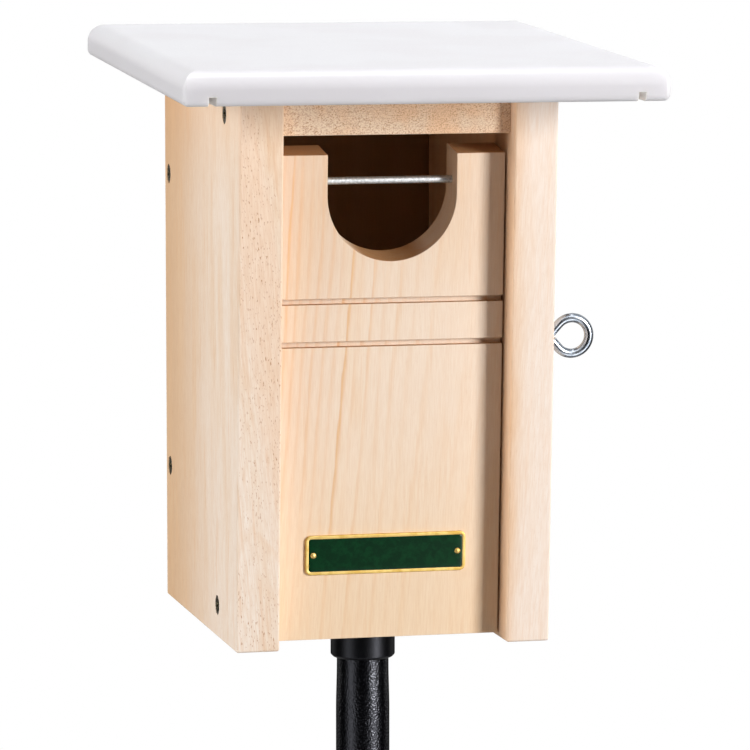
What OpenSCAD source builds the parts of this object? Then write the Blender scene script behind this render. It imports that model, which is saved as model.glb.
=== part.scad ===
// Bluebird house with a drop-down front door, a pole flange and the top section of its pole.
// The front faces -Y and the roof is at +Z. The pole's axis is the Z axis, and the pole's
// open lower end lies at Z = 0. Lengths are in millimetres and angles in degrees.

/* [Boards] */
// Thickness of every wooden board
board_t = 19.05; // [17:0.05:21]
// Clear width of the nest chamber, between the side walls
nest_w = 101.6; // [96:0.1:125]
// Depth of the side walls along their lower edge
wall_depth = 162; // [150:0.5:190]
// Height of the side walls at their front edge
wall_front_h = 241.8; // [236:0.1:290]
// Forward lean of the front, in degrees
front_lean = 3.05; // [1:0.05:5]
// Height of the floor's underside above the walls' lower edges
floor_up = 4.8; // [4.2:0.1:8]
// Leg of the drain cut at each corner of the floor
drain_cut = 9; // [5:0.5:12]

/* [Roof] */
// Rise of the roof towards the back, in degrees
roof_pitch = 2.75; // [1:0.05:5]
// Thickness of the roof panel
roof_t = 14.8; // [14:0.1:19]
// Overhang past each side wall
roof_side_over = 34.65; // [26:0.05:45]
// Overhang past the front edges of the walls
roof_front_over = 51.65; // [40:0.05:65]
// Overhang past the back panel
roof_back_over = 7.9; // [3:0.1:20]
// Radius along the upper edges of the roof
roof_top_r = 8; // [3:0.5:9]
// Radius along the lower edges of the roof
roof_low_r = 3; // [1:0.25:4]
// Width of the drip kerfs under the roof
drip_w = 3.2; // [2:0.1:4]
// Depth of the drip kerfs
drip_deep = 4; // [2:0.1:6]
// Distance from the roof's side edge to the middle of a drip kerf
drip_in = 11; // [8:0.5:16]

/* [Door] */
// Recess of the ceiling board behind the front edges of the walls
header_in = 8.5; // [5:0.1:12]
// Recess of the door behind the front edges of the walls
door_in = 13.5; // [10:0.1:18]
// Height of the door's lower edge above the walls' lower edges
door_up = 2.2; // [1.2:0.1:4]
// Gap between the door and each side wall
door_gap = 0.8; // [0.5:0.1:1.2]
// Vent gap between the door and the ceiling board
vent_gap = 8.8; // [6:0.1:12]
// Gap between the door's rounded lower edge and the floor
floor_gap = 1.5; // [1.2:0.1:3]
// Fall of the door's upper edge and of the entrance's sill towards the front, in degrees
sill_slope = 6.5; // [0:0.1:10]
// Number of ladder kerfs across the door
kerf_count = 2; // [1:1:4]
// Height of a ladder kerf
kerf_h = 2.5; // [2:0.1:4]
// Depth of a ladder kerf
kerf_deep = 3; // [1.5:0.1:5]
// Distance from the entrance down to the middle of the first kerf
kerf_drop = 17.3; // [12:0.1:22]
// Spacing of the ladder kerfs
kerf_pitch = 18.7; // [15:0.1:24]

/* [Entrance] */
// Width of the U-shaped entrance
entrance_w = 57.15; // [50:0.05:64]
// Depth of the entrance below the door's upper edge
entrance_drop = 46.3; // [42:0.1:54]
// Height of the guard rod's axis above the bottom of the entrance
rod_rise = 34; // [31:0.1:38]
// Diameter of the guard rod
rod_d = 3.2; // [2.5:0.1:5]
// Distance from each door edge to the rod's end
rod_end_in = 1; // [0.5:0.1:3]

/* [Pivot and eye pin] */
// Diameter of the door's pivot pins
pivot_d = 4.8; // [3:0.1:6]
// Length of a pivot pin inside the side wall
pivot_in_wall = 10; // [7:0.5:14]
// Length of a pivot pin inside the door
pivot_in_door = 16; // [10:0.5:22]
// Height of the eye pin above the door's lower edge
eye_up = 130; // [90:0.5:145]
// Diameter of the eye pin's wire
wire_d = 4.1; // [3.5:0.1:5]
// Inner diameter of the eye
eye_bore = 11.7; // [10:0.1:14]
// Gap between the eye's heel and the wall
eye_heel_gap = 0.7; // [0.5:0.1:2]
// Gap between the eye pin's tip and the door's edge
tip_gap = 0.3; // [0.2:0.05:0.6]

/* [Name plate] */
// Width of the blank name plate
plate_w = 71.7; // [60:0.1:80]
// Height of the name plate
plate_h = 17.5; // [12:0.1:22]
// Thickness of the name plate
plate_t = 1.2; // [0.9:0.1:2]
// Corner radius of the name plate
plate_r = 2.6; // [1.5:0.1:4]
// Width of the bare rim round the enamel
plate_rim = 1.5; // [1:0.1:2.5]
// Thickness of the enamel in its recess
enamel_t = 0.5; // [0.3:0.05:0.7]
// Height of the plate's middle above the door's lower edge
plate_up = 37.6; // [25:0.1:60]
// Offset of the plate's middle from the door's middle
plate_off = -1.2; // [-4:0.1:4]
// Distance from the plate's end to the middle of its pin
plate_pin_in = 3.6; // [3.2:0.1:5]
// Head diameter of the plate pins
plate_pin_head = 2.6; // [2:0.1:3]
// Shank diameter of the plate pins
plate_pin_d = 1.3; // [1:0.1:1.6]
// Length of the plate pins' shanks below the plate
plate_pin_len = 9; // [6:0.5:12]

/* [Wood screws] */
// Length of the screws through the walls
side_screw_len = 41; // [36:0.5:44]
// Head diameter of the screws through the walls
side_head_d = 8.6; // [7.5:0.1:9]
// Shank diameter of the screws through the walls
side_shank_d = 3.8; // [3:0.1:4.5]
// Distance behind the walls' lower front corner of the front ceiling screws
ceiling_screw_front = 22; // [16:0.5:30]
// Distance in front of the back panel of the rear ceiling screws
ceiling_screw_back = 24; // [18:0.5:30]
// Drop of the ceiling screws in the side walls below the ceiling board's middle
ceiling_screw_low = 2.5; // [0:0.1:4]
// Distance behind the walls' lower front corner of the floor screws
floor_screw_back = 42; // [40:0.5:60]
// Height of the lower screws into the back panel
back_screw_low = 61.7; // [45:0.1:90]
// Height of the upper screws into the back panel
back_screw_high = 196.9; // [150:0.1:200]
// Sideways spacing of the screws through the back panel
rear_screw_gap = 40; // [34:0.5:44]
// Length of the screws that hold the roof
roof_screw_len = 31; // [28:0.5:32]
// Head diameter of the screws that hold the roof and the flange
small_head_d = 7; // [6:0.1:7.4]
// Shank diameter of the screws that hold the roof and the flange
small_shank_d = 3.4; // [2.8:0.1:4]
// Sideways spacing of the roof screws
roof_screw_gap_x = 60; // [40:1:80]
// Front-to-back spacing of the roof screws
roof_screw_gap_y = 66; // [50:1:80]

/* [Flange and pole] */
// Distance of the pole's axis behind the walls' lower front corner
pole_back = 60; // [59:0.5:75]
// Diameter of the flange plate
flange_d = 50; // [46:0.5:52]
// Thickness of the flange plate
flange_t = 3.2; // [2.5:0.1:4]
// Outer diameter of the collar
collar_d = 28.8; // [28:0.1:31]
// Distance from the floor down to the collar's lower end
collar_drop = 19; // [17:0.1:35]
// Bevel at the collar's lower end
collar_bevel = 1; // [0.5:0.1:1.5]
// Length of the flange screws
flange_screw_len = 15; // [12:0.5:17]
// Diameter of the set screw
set_screw_d = 5; // [4:0.1:6]
// Length that the set screw stands out of the collar
set_screw_out = 1.2; // [0.5:0.1:3]
// Length of the pole section
pole_len = 305; // [200:1:600]
// Outer diameter of the pole
pole_d = 24; // [23.6:0.1:25]
// Outer diameter of the pole's neck, inside the collar
neck_d = 23.2; // [22.8:0.1:23.5]
// Inner diameter of the pole
pole_bore = 21.2; // [20:0.1:21.6]
// Length of the neck
neck_len = 22; // [21:0.5:40]
// Length of the taper below the neck
taper_len = 21; // [10:0.5:30]

/* [Clearances] */
// Gap round a piece that is fixed in its hole
seat_gap = 0.04; // [0.02:0.01:0.08]
// Gap round a pin that something turns or slides on
run_gap = 0.08; // [0.05:0.01:0.1]

/* [Hidden] */
$fn = 64;

pine = "#e8cba6";
ceiling_wood = "#c79b73";
plastic_white = "#eeeef0";
zinc = "#b9bec4";
screw_grey = "#6a6b5c";
brass = "#cfa94b";
enamel_green = "#0d4a2c";
coat_black = "#17181a";

// House frame: X across, Y back from the walls' lower front corner, Z up from their lower edges.
house_w = nest_w + 2 * board_t;
wall_front_y = -wall_front_h * tan(front_lean);
back_y = wall_depth - board_t;
function roof_under(y) = wall_front_h + (y - wall_front_y) * tan(roof_pitch);
function ceiling_mid(y) = roof_under(y) - board_t / 2 / cos(roof_pitch);

// Door frame: X across, Y back from the door's front face, Z up the door from its lower edge.
door_w = nest_w - 2 * door_gap;
door_front_y = door_in - door_up * tan(front_lean);
header_low = wall_front_h + header_in * sin(roof_pitch) - board_t * cos(roof_pitch);
door_h = (header_low - vent_gap - door_up) / cos(front_lean);
door_mid = board_t / 2;
entrance_low = door_h - entrance_drop;
pivot_y = door_front_y + door_mid * cos(front_lean) - door_mid * sin(front_lean);
floor_front_y = pivot_y + door_mid + floor_gap;

// Roof frame: X across, Y up the slope from the walls' top front corner, Z square to the roof.
roof_w = house_w + 2 * roof_side_over;
roof_back_reach = (wall_depth + roof_back_over - wall_front_y) / cos(roof_pitch);
roof_screw_mid = (back_y - wall_front_y + header_in) / 2;

eye_r = (eye_bore + wire_d) / 2;
eye_outer_r = eye_bore / 2 + wire_d;
eye_heel_angle = 48;
eye_heel = eye_outer_r / sin(eye_heel_angle);
eye_mid_x = house_w / 2 + eye_heel_gap + eye_heel;
collar_bore = neck_d + 2 * seat_gap;
flange_pitch_r = (flange_d + collar_d) / 4;
set_screw_drop = (flange_t + collar_drop) / 2;
overcut = 1;

module in_frame() { translate([0, -pole_back, pole_len - floor_up]) children(); }
module leaned() { translate([0, door_front_y, door_up]) rotate([front_lean, 0, 0]) children(); }
module pitched() { translate([0, wall_front_y, wall_front_h]) rotate([roof_pitch, 0, 0]) children(); }
module both_sides() { children(); mirror([1, 0, 0]) children(); }

// A length of the profile drawn in Y and Z, centred on X = 0.
module across(width) { translate([-width / 2, 0, 0]) rotate([90, 0, 90]) linear_extrude(width) children(); }

// A pin along X, from x_from to x_to.
module pin_x(d, x_from, x_to) {
    translate([x_from, 0, 0]) rotate([0, 90, 0]) cylinder(h = x_to - x_from, d = d);
}

// A rectangle with its lower middle at the origin, and round corners above and below.
module slab_outline(w, h, top_r, low_r) {
    difference() {
        translate([-w / 2, 0]) square([w, h]);
        for (s = [-1, 1]) {
            translate([s * w / 2, h]) corner_waste(top_r, -s, -1);
            translate([s * w / 2, 0]) corner_waste(low_r, -s, 1);
        }
    }
}

// What a round corner of radius r leaves over, towards the directions sx and sy.
module corner_waste(r, sx, sy) {
    difference() {
        translate([sx > 0 ? -overcut : -r, sy > 0 ? -overcut : -r]) square(r + overcut);
        translate([sx * r, sy * r]) circle(r);
    }
}

// A countersunk screw whose head is flush with Z = 0 and whose point is at Z = -len.
module screw_body(len, head_d, shank_d, gap) {
    head_h = (head_d - shank_d) / 2;
    rotate_extrude() polygon([
        [0, 0], [head_d / 2 + gap, 0], [shank_d / 2 + gap, -head_h],
        [shank_d / 2 + gap, shank_d * 1.5 - len], [0, -len - gap]
    ]);
}

module wood_screw(len, head_d, shank_d) {
    difference() {
        screw_body(len, head_d, shank_d, 0);
        for (a = [0, 90]) rotate(a) translate([-head_d / 4, -head_d / 16, -head_d / 4])
            cube([head_d / 2, head_d / 8, head_d]);
    }
}

module screw_cut(len, head_d, shank_d) {
    screw_body(len, head_d, shank_d, seat_gap);
    cylinder(h = overcut, d = head_d + 2 * seat_gap);
}

module side_screw() { wood_screw(side_screw_len, side_head_d, side_shank_d); }
module side_screw_cut() { screw_cut(side_screw_len, side_head_d, side_shank_d); }

// Places of the screws, each with its head on the outer face and its point inwards.
module on_left_wall(y, z) { translate([-house_w / 2, y, z]) rotate([0, -90, 0]) children(); }
module on_back_panel(z) {
    both_sides() translate([rear_screw_gap / 2, wall_depth, z]) rotate([-90, 0, 0]) children();
}
module at_ceiling_screws() {
    for (y = [ceiling_screw_front, back_y - ceiling_screw_back])
        on_left_wall(y, ceiling_mid(y) - ceiling_screw_low) children();
}
module at_back_screws() {
    for (z = [back_screw_low, back_screw_high]) on_left_wall(back_y + board_t / 2, z) children();
}
module at_floor_screw() { on_left_wall(floor_screw_back, floor_up + board_t / 2) children(); }
module at_rear_ceiling_screws() { on_back_panel(ceiling_mid(wall_depth)) children(); }
module at_rear_floor_screws() { on_back_panel(floor_up + board_t / 2) children(); }
module at_roof_screws() {
    pitched() for (sx = [-1, 1], sy = [-1, 1])
        translate([sx * roof_screw_gap_x / 2, roof_screw_mid + sy * roof_screw_gap_y / 2, -board_t])
            rotate([180, 0, 0]) children();
}
module at_flange_screws() {
    for (a = [90, 210, 330]) translate([0, pole_back, floor_up - flange_t]) rotate(a)
        translate([flange_pitch_r, 0, 0]) rotate([180, 0, 0]) children();
}
module at_plate_pins() {
    leaned() translate([plate_off, -plate_t, plate_up])
        both_sides() translate([plate_w / 2 - plate_pin_in, 0, 0]) rotate([90, 0, 0]) children();
}

module side_wall_blank() {
    translate([-(nest_w + board_t) / 2, 0, 0]) across(board_t) polygon([
        [0, 0], [wall_depth, 0], [wall_depth, roof_under(wall_depth)], [wall_front_y, wall_front_h]
    ]);
}

// The left wall without its colour; the right one is its mirror image.
module side_wall() {
    difference() {
        side_wall_blank();
        at_ceiling_screws() side_screw_cut();
        at_back_screws() side_screw_cut();
        at_floor_screw() side_screw_cut();
        leaned() translate([0, door_mid, door_mid])
            pin_x(pivot_d + 2 * seat_gap, -nest_w / 2 - pivot_in_wall - seat_gap, -door_w / 2);
    }
}

module left_side_wall() { color(pine) in_frame() side_wall(); }

module right_side_wall() {
    color(pine) in_frame() difference() {
        mirror([1, 0, 0]) side_wall();
        leaned() translate([0, door_mid, eye_up])
            pin_x(wire_d + 2 * run_gap, nest_w / 2 - overcut, house_w / 2 + overcut);
    }
}

module back_panel() {
    color(pine) in_frame() difference() {
        across(nest_w) polygon([
            [back_y, 0], [wall_depth, 0], [wall_depth, roof_under(wall_depth)], [back_y, roof_under(back_y)]
        ]);
        both_sides() at_back_screws() side_screw_cut();
        at_rear_ceiling_screws() side_screw_cut();
        at_rear_floor_screws() side_screw_cut();
    }
}

module ceiling_board() {
    color(ceiling_wood) in_frame() difference() {
        pitched() translate([-nest_w / 2, header_in, -board_t]) cube([nest_w, wall_depth, board_t]);
        translate([-nest_w, back_y, 0]) cube([2 * nest_w, wall_depth, 2 * wall_front_h]);
        both_sides() at_ceiling_screws() side_screw_cut();
        at_rear_ceiling_screws() side_screw_cut();
        at_roof_screws() screw_cut(roof_screw_len, small_head_d, small_shank_d);
    }
}

module floor_board() {
    x = nest_w / 2;
    color(pine) in_frame() difference() {
        translate([0, 0, floor_up]) linear_extrude(board_t) polygon([
            [-x, floor_front_y + drain_cut], [drain_cut - x, floor_front_y],
            [x - drain_cut, floor_front_y], [x, floor_front_y + drain_cut],
            [x, back_y - drain_cut], [x - drain_cut, back_y], [drain_cut - x, back_y], [-x, back_y - drain_cut]
        ]);
        both_sides() at_floor_screw() side_screw_cut();
        at_rear_floor_screws() side_screw_cut();
        at_flange_screws() screw_cut(flange_screw_len, small_head_d, small_shank_d);
    }
}

module roof_panel() {
    reach = roof_front_over + roof_back_reach;
    color(plastic_white) in_frame() difference() {
        pitched() intersection() {
            translate([0, roof_back_reach, 0]) rotate([90, 0, 0]) linear_extrude(reach)
                slab_outline(roof_w, roof_t, roof_top_r, roof_low_r);
            across(roof_w) translate([(roof_back_reach - roof_front_over) / 2, 0])
                slab_outline(reach, roof_t, roof_top_r, roof_low_r);
        }
        pitched() both_sides()
            translate([roof_w / 2 - drip_in - drip_w / 2, -roof_front_over - overcut, -overcut])
                cube([drip_w, reach + 2 * overcut, drip_deep + overcut]);
        at_roof_screws() screw_cut(roof_screw_len, small_head_d, small_shank_d);
    }
}

module door_profile() {
    polygon([[0, door_mid], [board_t, door_mid], [board_t, door_h + board_t * tan(sill_slope)], [0, door_h]]);
    square([door_mid, board_t]);
    translate([door_mid, door_mid]) circle(door_mid);
}

// The U-shaped hole, whose sill falls towards the front.
module entrance_cut() {
    reach = board_t + 2 * entrance_w;
    translate([0, 0, entrance_low + entrance_w / 2]) rotate([sill_slope, 0, 0]) translate([0, -entrance_w, 0]) {
        rotate([-90, 0, 0]) cylinder(h = reach, d = entrance_w);
        translate([-entrance_w / 2, 0, 0]) cube([entrance_w, reach, entrance_drop]);
    }
}

module front_door() {
    color(pine) in_frame() difference() {
        leaned() difference() {
            across(door_w) door_profile();
            entrance_cut();
            for (i = [0 : kerf_count - 1])
                translate([-door_w, -overcut, entrance_low - kerf_drop - i * kerf_pitch - kerf_h / 2])
                    cube([2 * door_w, kerf_deep + overcut, kerf_h]);
            translate([0, door_mid, entrance_low + rod_rise])
                pin_x(rod_d + 2 * seat_gap, -door_w, door_w);
            both_sides() translate([0, door_mid, door_mid])
                pin_x(pivot_d + 2 * run_gap, door_w / 2 - pivot_in_door - run_gap, door_w);
        }
        at_plate_pins() plate_pin_body(seat_gap);
    }
}

module entrance_rod() {
    color(zinc) in_frame() leaned() translate([0, door_mid, entrance_low + rod_rise])
        pin_x(rod_d, rod_end_in - door_w / 2, door_w / 2 - rod_end_in);
}

module door_pivot_pins() {
    color(zinc) in_frame() leaned() both_sides() translate([0, door_mid, door_mid])
        pin_x(pivot_d, door_w / 2 - pivot_in_door, nest_w / 2 + pivot_in_wall);
}

// A ring drawn out to a point at its heel, and the straight pin that runs on from there.
module eye_pin() {
    bend_end = 90 + eye_heel_angle;
    heel = eye_r / sin(eye_heel_angle);
    color(zinc) in_frame() leaned() translate([eye_mid_x, door_mid, eye_up]) {
        rotate([90, 0, 0]) {
            rotate(-bend_end) rotate_extrude(angle = 2 * bend_end) translate([eye_r, 0]) circle(d = wire_d);
            for (s = [-1, 1]) rotate(s * bend_end) translate([eye_r, 0, 0]) rotate([-s * 90, 0, 0])
                cylinder(h = eye_r / tan(eye_heel_angle), d = wire_d);
        }
        pin_x(wire_d, door_w / 2 + tip_gap - eye_mid_x, wire_d / 2 - heel);
    }
}

module plate_outline(inset) {
    w = plate_w - 2 * inset;
    h = plate_h - 2 * inset;
    translate([plate_off, plate_up - h / 2]) slab_outline(w, h, plate_r - inset / 2, plate_r - inset / 2);
}

module name_plate() {
    color(brass) in_frame() difference() {
        leaned() difference() {
            rotate([90, 0, 0]) linear_extrude(plate_t) plate_outline(0);
            translate([0, enamel_t - plate_t, 0]) rotate([90, 0, 0]) linear_extrude(plate_t) plate_outline(plate_rim);
        }
        at_plate_pins() plate_pin_body(seat_gap);
    }
}

module name_plate_enamel() {
    color(enamel_green) in_frame() difference() {
        leaned() translate([0, enamel_t - plate_t, 0]) rotate([90, 0, 0])
            linear_extrude(enamel_t) plate_outline(plate_rim + seat_gap);
        at_plate_pins() plate_pin_body(seat_gap);
    }
}

// A pin with its head's underside on the plate and its shank inwards.
module plate_pin_body(gap) {
    translate([0, 0, -plate_t - plate_pin_len]) cylinder(h = plate_t + plate_pin_len, d = plate_pin_d + 2 * gap);
}

module name_plate_pins() {
    dome_r = plate_pin_head * 0.65;
    dome_low = sqrt(pow(dome_r, 2) - pow(plate_pin_head / 2, 2));
    color(brass) in_frame() at_plate_pins() {
        plate_pin_body(0);
        intersection() {
            translate([0, 0, -dome_low]) sphere(dome_r);
            cylinder(h = dome_r, d = plate_pin_head);
        }
    }
}

module left_ceiling_screws() { color(screw_grey) in_frame() at_ceiling_screws() side_screw(); }
module right_ceiling_screws() { color(screw_grey) in_frame() mirror([1, 0, 0]) at_ceiling_screws() side_screw(); }
module left_back_screws() { color(screw_grey) in_frame() at_back_screws() side_screw(); }
module right_back_screws() { color(screw_grey) in_frame() mirror([1, 0, 0]) at_back_screws() side_screw(); }
module left_floor_screw() { color(screw_grey) in_frame() at_floor_screw() side_screw(); }
module right_floor_screw() { color(screw_grey) in_frame() mirror([1, 0, 0]) at_floor_screw() side_screw(); }
module rear_ceiling_screws() { color(screw_grey) in_frame() at_rear_ceiling_screws() side_screw(); }
module rear_floor_screws() { color(screw_grey) in_frame() at_rear_floor_screws() side_screw(); }

module roof_screws() {
    color(zinc) in_frame() at_roof_screws() wood_screw(roof_screw_len, small_head_d, small_shank_d);
}

module flange_screws() {
    color(coat_black) in_frame() at_flange_screws() wood_screw(flange_screw_len, small_head_d, small_shank_d);
}

module pole_flange() {
    color(coat_black) in_frame() difference() {
        translate([0, pole_back, floor_up]) rotate_extrude() polygon([
            [collar_bore / 2, 0], [flange_d / 2, 0], [flange_d / 2, -flange_t], [collar_d / 2, -flange_t],
            [collar_d / 2, collar_bevel - collar_drop], [collar_d / 2 - collar_bevel, -collar_drop],
            [collar_bore / 2, -collar_drop]
        ]);
        at_flange_screws() screw_cut(flange_screw_len, small_head_d, small_shank_d);
        translate([0, pole_back, floor_up - set_screw_drop]) rotate([-90, 0, 0])
            cylinder(h = collar_d, d = set_screw_d + 2 * seat_gap);
    }
}

module flange_set_screw() {
    reach = (collar_d - neck_d) / 2 + set_screw_out;
    color(zinc) in_frame() translate([0, pole_back + neck_d / 2, floor_up - set_screw_drop]) rotate([-90, 0, 0])
        difference() {
            cylinder(h = reach, d = set_screw_d);
            translate([0, 0, reach / 2]) cylinder(h = reach, d = set_screw_d / 2, $fn = 6);
        }
}

module pole_section() {
    color(coat_black) difference() {
        rotate_extrude() polygon([
            [0, 0], [pole_d / 2, 0], [pole_d / 2, pole_len - neck_len - taper_len],
            [neck_d / 2, pole_len - neck_len], [neck_d / 2, pole_len], [0, pole_len]
        ]);
        translate([0, 0, -overcut]) cylinder(h = pole_len + 2 * overcut, d = pole_bore);
    }
}

roof_panel();
roof_screws();
ceiling_board();
left_side_wall();
right_side_wall();
back_panel();
floor_board();
front_door();
entrance_rod();
door_pivot_pins();
eye_pin();
name_plate();
name_plate_enamel();
name_plate_pins();
left_ceiling_screws();
right_ceiling_screws();
left_back_screws();
right_back_screws();
left_floor_screw();
right_floor_screw();
rear_ceiling_screws();
rear_floor_screws();
pole_flange();
flange_screws();
flange_set_screw();
pole_section();
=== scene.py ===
"""A pine nest box with a moulded roof on a black pole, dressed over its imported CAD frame."""

import logging
import math
from abc import ABC, abstractmethod
from collections.abc import Mapping, Sequence
from dataclasses import dataclass, field
from enum import Enum
from typing import Any

import bmesh
import bpy
from mathutils import Euler, Matrix, Vector


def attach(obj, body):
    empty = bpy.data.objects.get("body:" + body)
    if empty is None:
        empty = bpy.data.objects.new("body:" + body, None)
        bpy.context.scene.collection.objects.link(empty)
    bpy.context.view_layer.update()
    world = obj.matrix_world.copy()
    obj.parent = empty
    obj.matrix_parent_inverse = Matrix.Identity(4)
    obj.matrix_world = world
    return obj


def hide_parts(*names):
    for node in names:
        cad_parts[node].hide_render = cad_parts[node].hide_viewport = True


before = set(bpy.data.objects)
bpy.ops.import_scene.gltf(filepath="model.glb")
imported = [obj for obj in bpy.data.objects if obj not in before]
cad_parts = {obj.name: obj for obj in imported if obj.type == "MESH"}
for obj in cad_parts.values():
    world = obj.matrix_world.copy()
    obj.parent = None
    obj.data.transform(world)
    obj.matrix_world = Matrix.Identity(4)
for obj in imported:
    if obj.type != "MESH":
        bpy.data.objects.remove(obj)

LOG = logging.getLogger("nest_box")

Pair = tuple[float, float]
Triple = tuple[float, float, float]
Colour = tuple[float, float, float, float]

# Sizes that several pieces share, in mm. The house frame lies in the middle of the walls'
# lower front edge, with X to the right, Y to the back and Z up.
MM = 0.001
BOARD = 19.05
NEST_W = 101.6
HOUSE_W = NEST_W + 2 * BOARD
WALL_DEPTH = 162.0
WALL_FRONT_H = 241.8
LEAN = math.radians(3.05)
PITCH = math.radians(2.75)
FLOOR_UP = 4.8
BACK_Y = WALL_DEPTH - BOARD
FRONT_Y = -WALL_FRONT_H * math.tan(LEAN)
HEADER_IN = 8.5
POLE_BACK = 60.0
POLE_LEN = 305.0
FLANGE_D = 50.0
FLANGE_T = 3.2
COLLAR_D = 28.8

WHITE: Colour = (1.0, 1.0, 1.0, 1.0)
NOWHERE: Pair = (900.0, 1000.0)
SEED_STEP: Triple = (37.0, 53.0, 211.0)


class Body(Enum):
    """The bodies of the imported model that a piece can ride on."""

    HOUSE = "house"
    DOOR = "door"
    EYE_PIN = "eye_pin"


class Grain(Enum):
    """The direction that a board's grain runs in, as an axis of the shared frame."""

    UPRIGHT = (0.0, 0.0, 1.0)
    FRONT_TO_BACK = (0.0, 1.0, 0.0)


class Plane(Enum):
    """Where an outline's two axes and its thickness lie, as the columns of a turn."""

    FACING_SIDE = ((0, 0, 1), (1, 0, 0), (0, 1, 0))
    FACING_FRONT = ((1, 0, 0), (0, 0, -1), (0, 1, 0))
    FACING_UP = ((1, 0, 0), (0, 1, 0), (0, 0, 1))

    @property
    def turn(self) -> Matrix:
        """The turn that takes outline axes to the axes of the part."""
        return Matrix(self.value).to_4x4()


HOUSE = Matrix.Translation(Vector((0, -POLE_BACK, POLE_LEN - FLOOR_UP)) * MM) @ Matrix.Scale(MM, 4)
ROOF = HOUSE @ Matrix.Translation((0, FRONT_Y, WALL_FRONT_H)) @ Matrix.Rotation(PITCH, 4, "X")


# ---------------------------------------------------------------- nodes


def paint(code: str) -> Colour:
    """Turns an sRGB hex colour to linear.

    Args:
        code: Six hex digits.

    Returns:
        The linear red, green, blue and an alpha of 1.
    """
    parts = [int(code[i : i + 2], 16) / 255 for i in (0, 2, 4)]
    linear = [p / 12.92 if p <= 0.04045 else ((p + 0.055) / 1.055) ** 2.4 for p in parts]
    return (linear[0], linear[1], linear[2], 1.0)


def empty_tree(owner: bpy.types.Material | bpy.types.World) -> bpy.types.NodeTree:
    """Switches a material or world to nodes and clears them.

    Args:
        owner: The new material or world.

    Returns:
        Its tree, without nodes.
    """
    owner.use_nodes = True
    owner.node_tree.nodes.clear()
    return owner.node_tree


def add_node(
    tree: bpy.types.NodeTree,
    kind: str,
    inputs: Mapping[str | int, Any] | None = None,
    **settings: Any,
) -> bpy.types.Node:
    """Adds one node with its settings, and fills or links its sockets.

    Args:
        tree: The shader or geometry tree.
        kind: The node's Blender type name.
        inputs: Sockets by name or number, each with a value, a term or a list of terms.
        **settings: The node's own properties.

    Returns:
        The new node.
    """
    node = tree.nodes.new(kind)
    for name, value in settings.items():
        setattr(node, name, value)
    for key, value in (inputs or {}).items():
        for source in value if isinstance(value, list) else [value]:
            if isinstance(source, Term):
                tree.links.new(source.socket, node.inputs[key])
            else:
                node.inputs[key].default_value = source
    return node


def make(
    tree: bpy.types.NodeTree,
    kind: str,
    inputs: Mapping[str | int, Any] | None = None,
    output: str | int = 0,
    **settings: Any,
) -> "Term":
    """Adds one node and takes one of its outputs.

    Args:
        tree: The shader or geometry tree.
        kind: The node's Blender type name.
        inputs: Its sockets, as in add_node.
        output: The output's name or number.
        **settings: The node's own properties.

    Returns:
        The output, as a term.
    """
    return Term(add_node(tree, kind, inputs, **settings).outputs[output])


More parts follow.
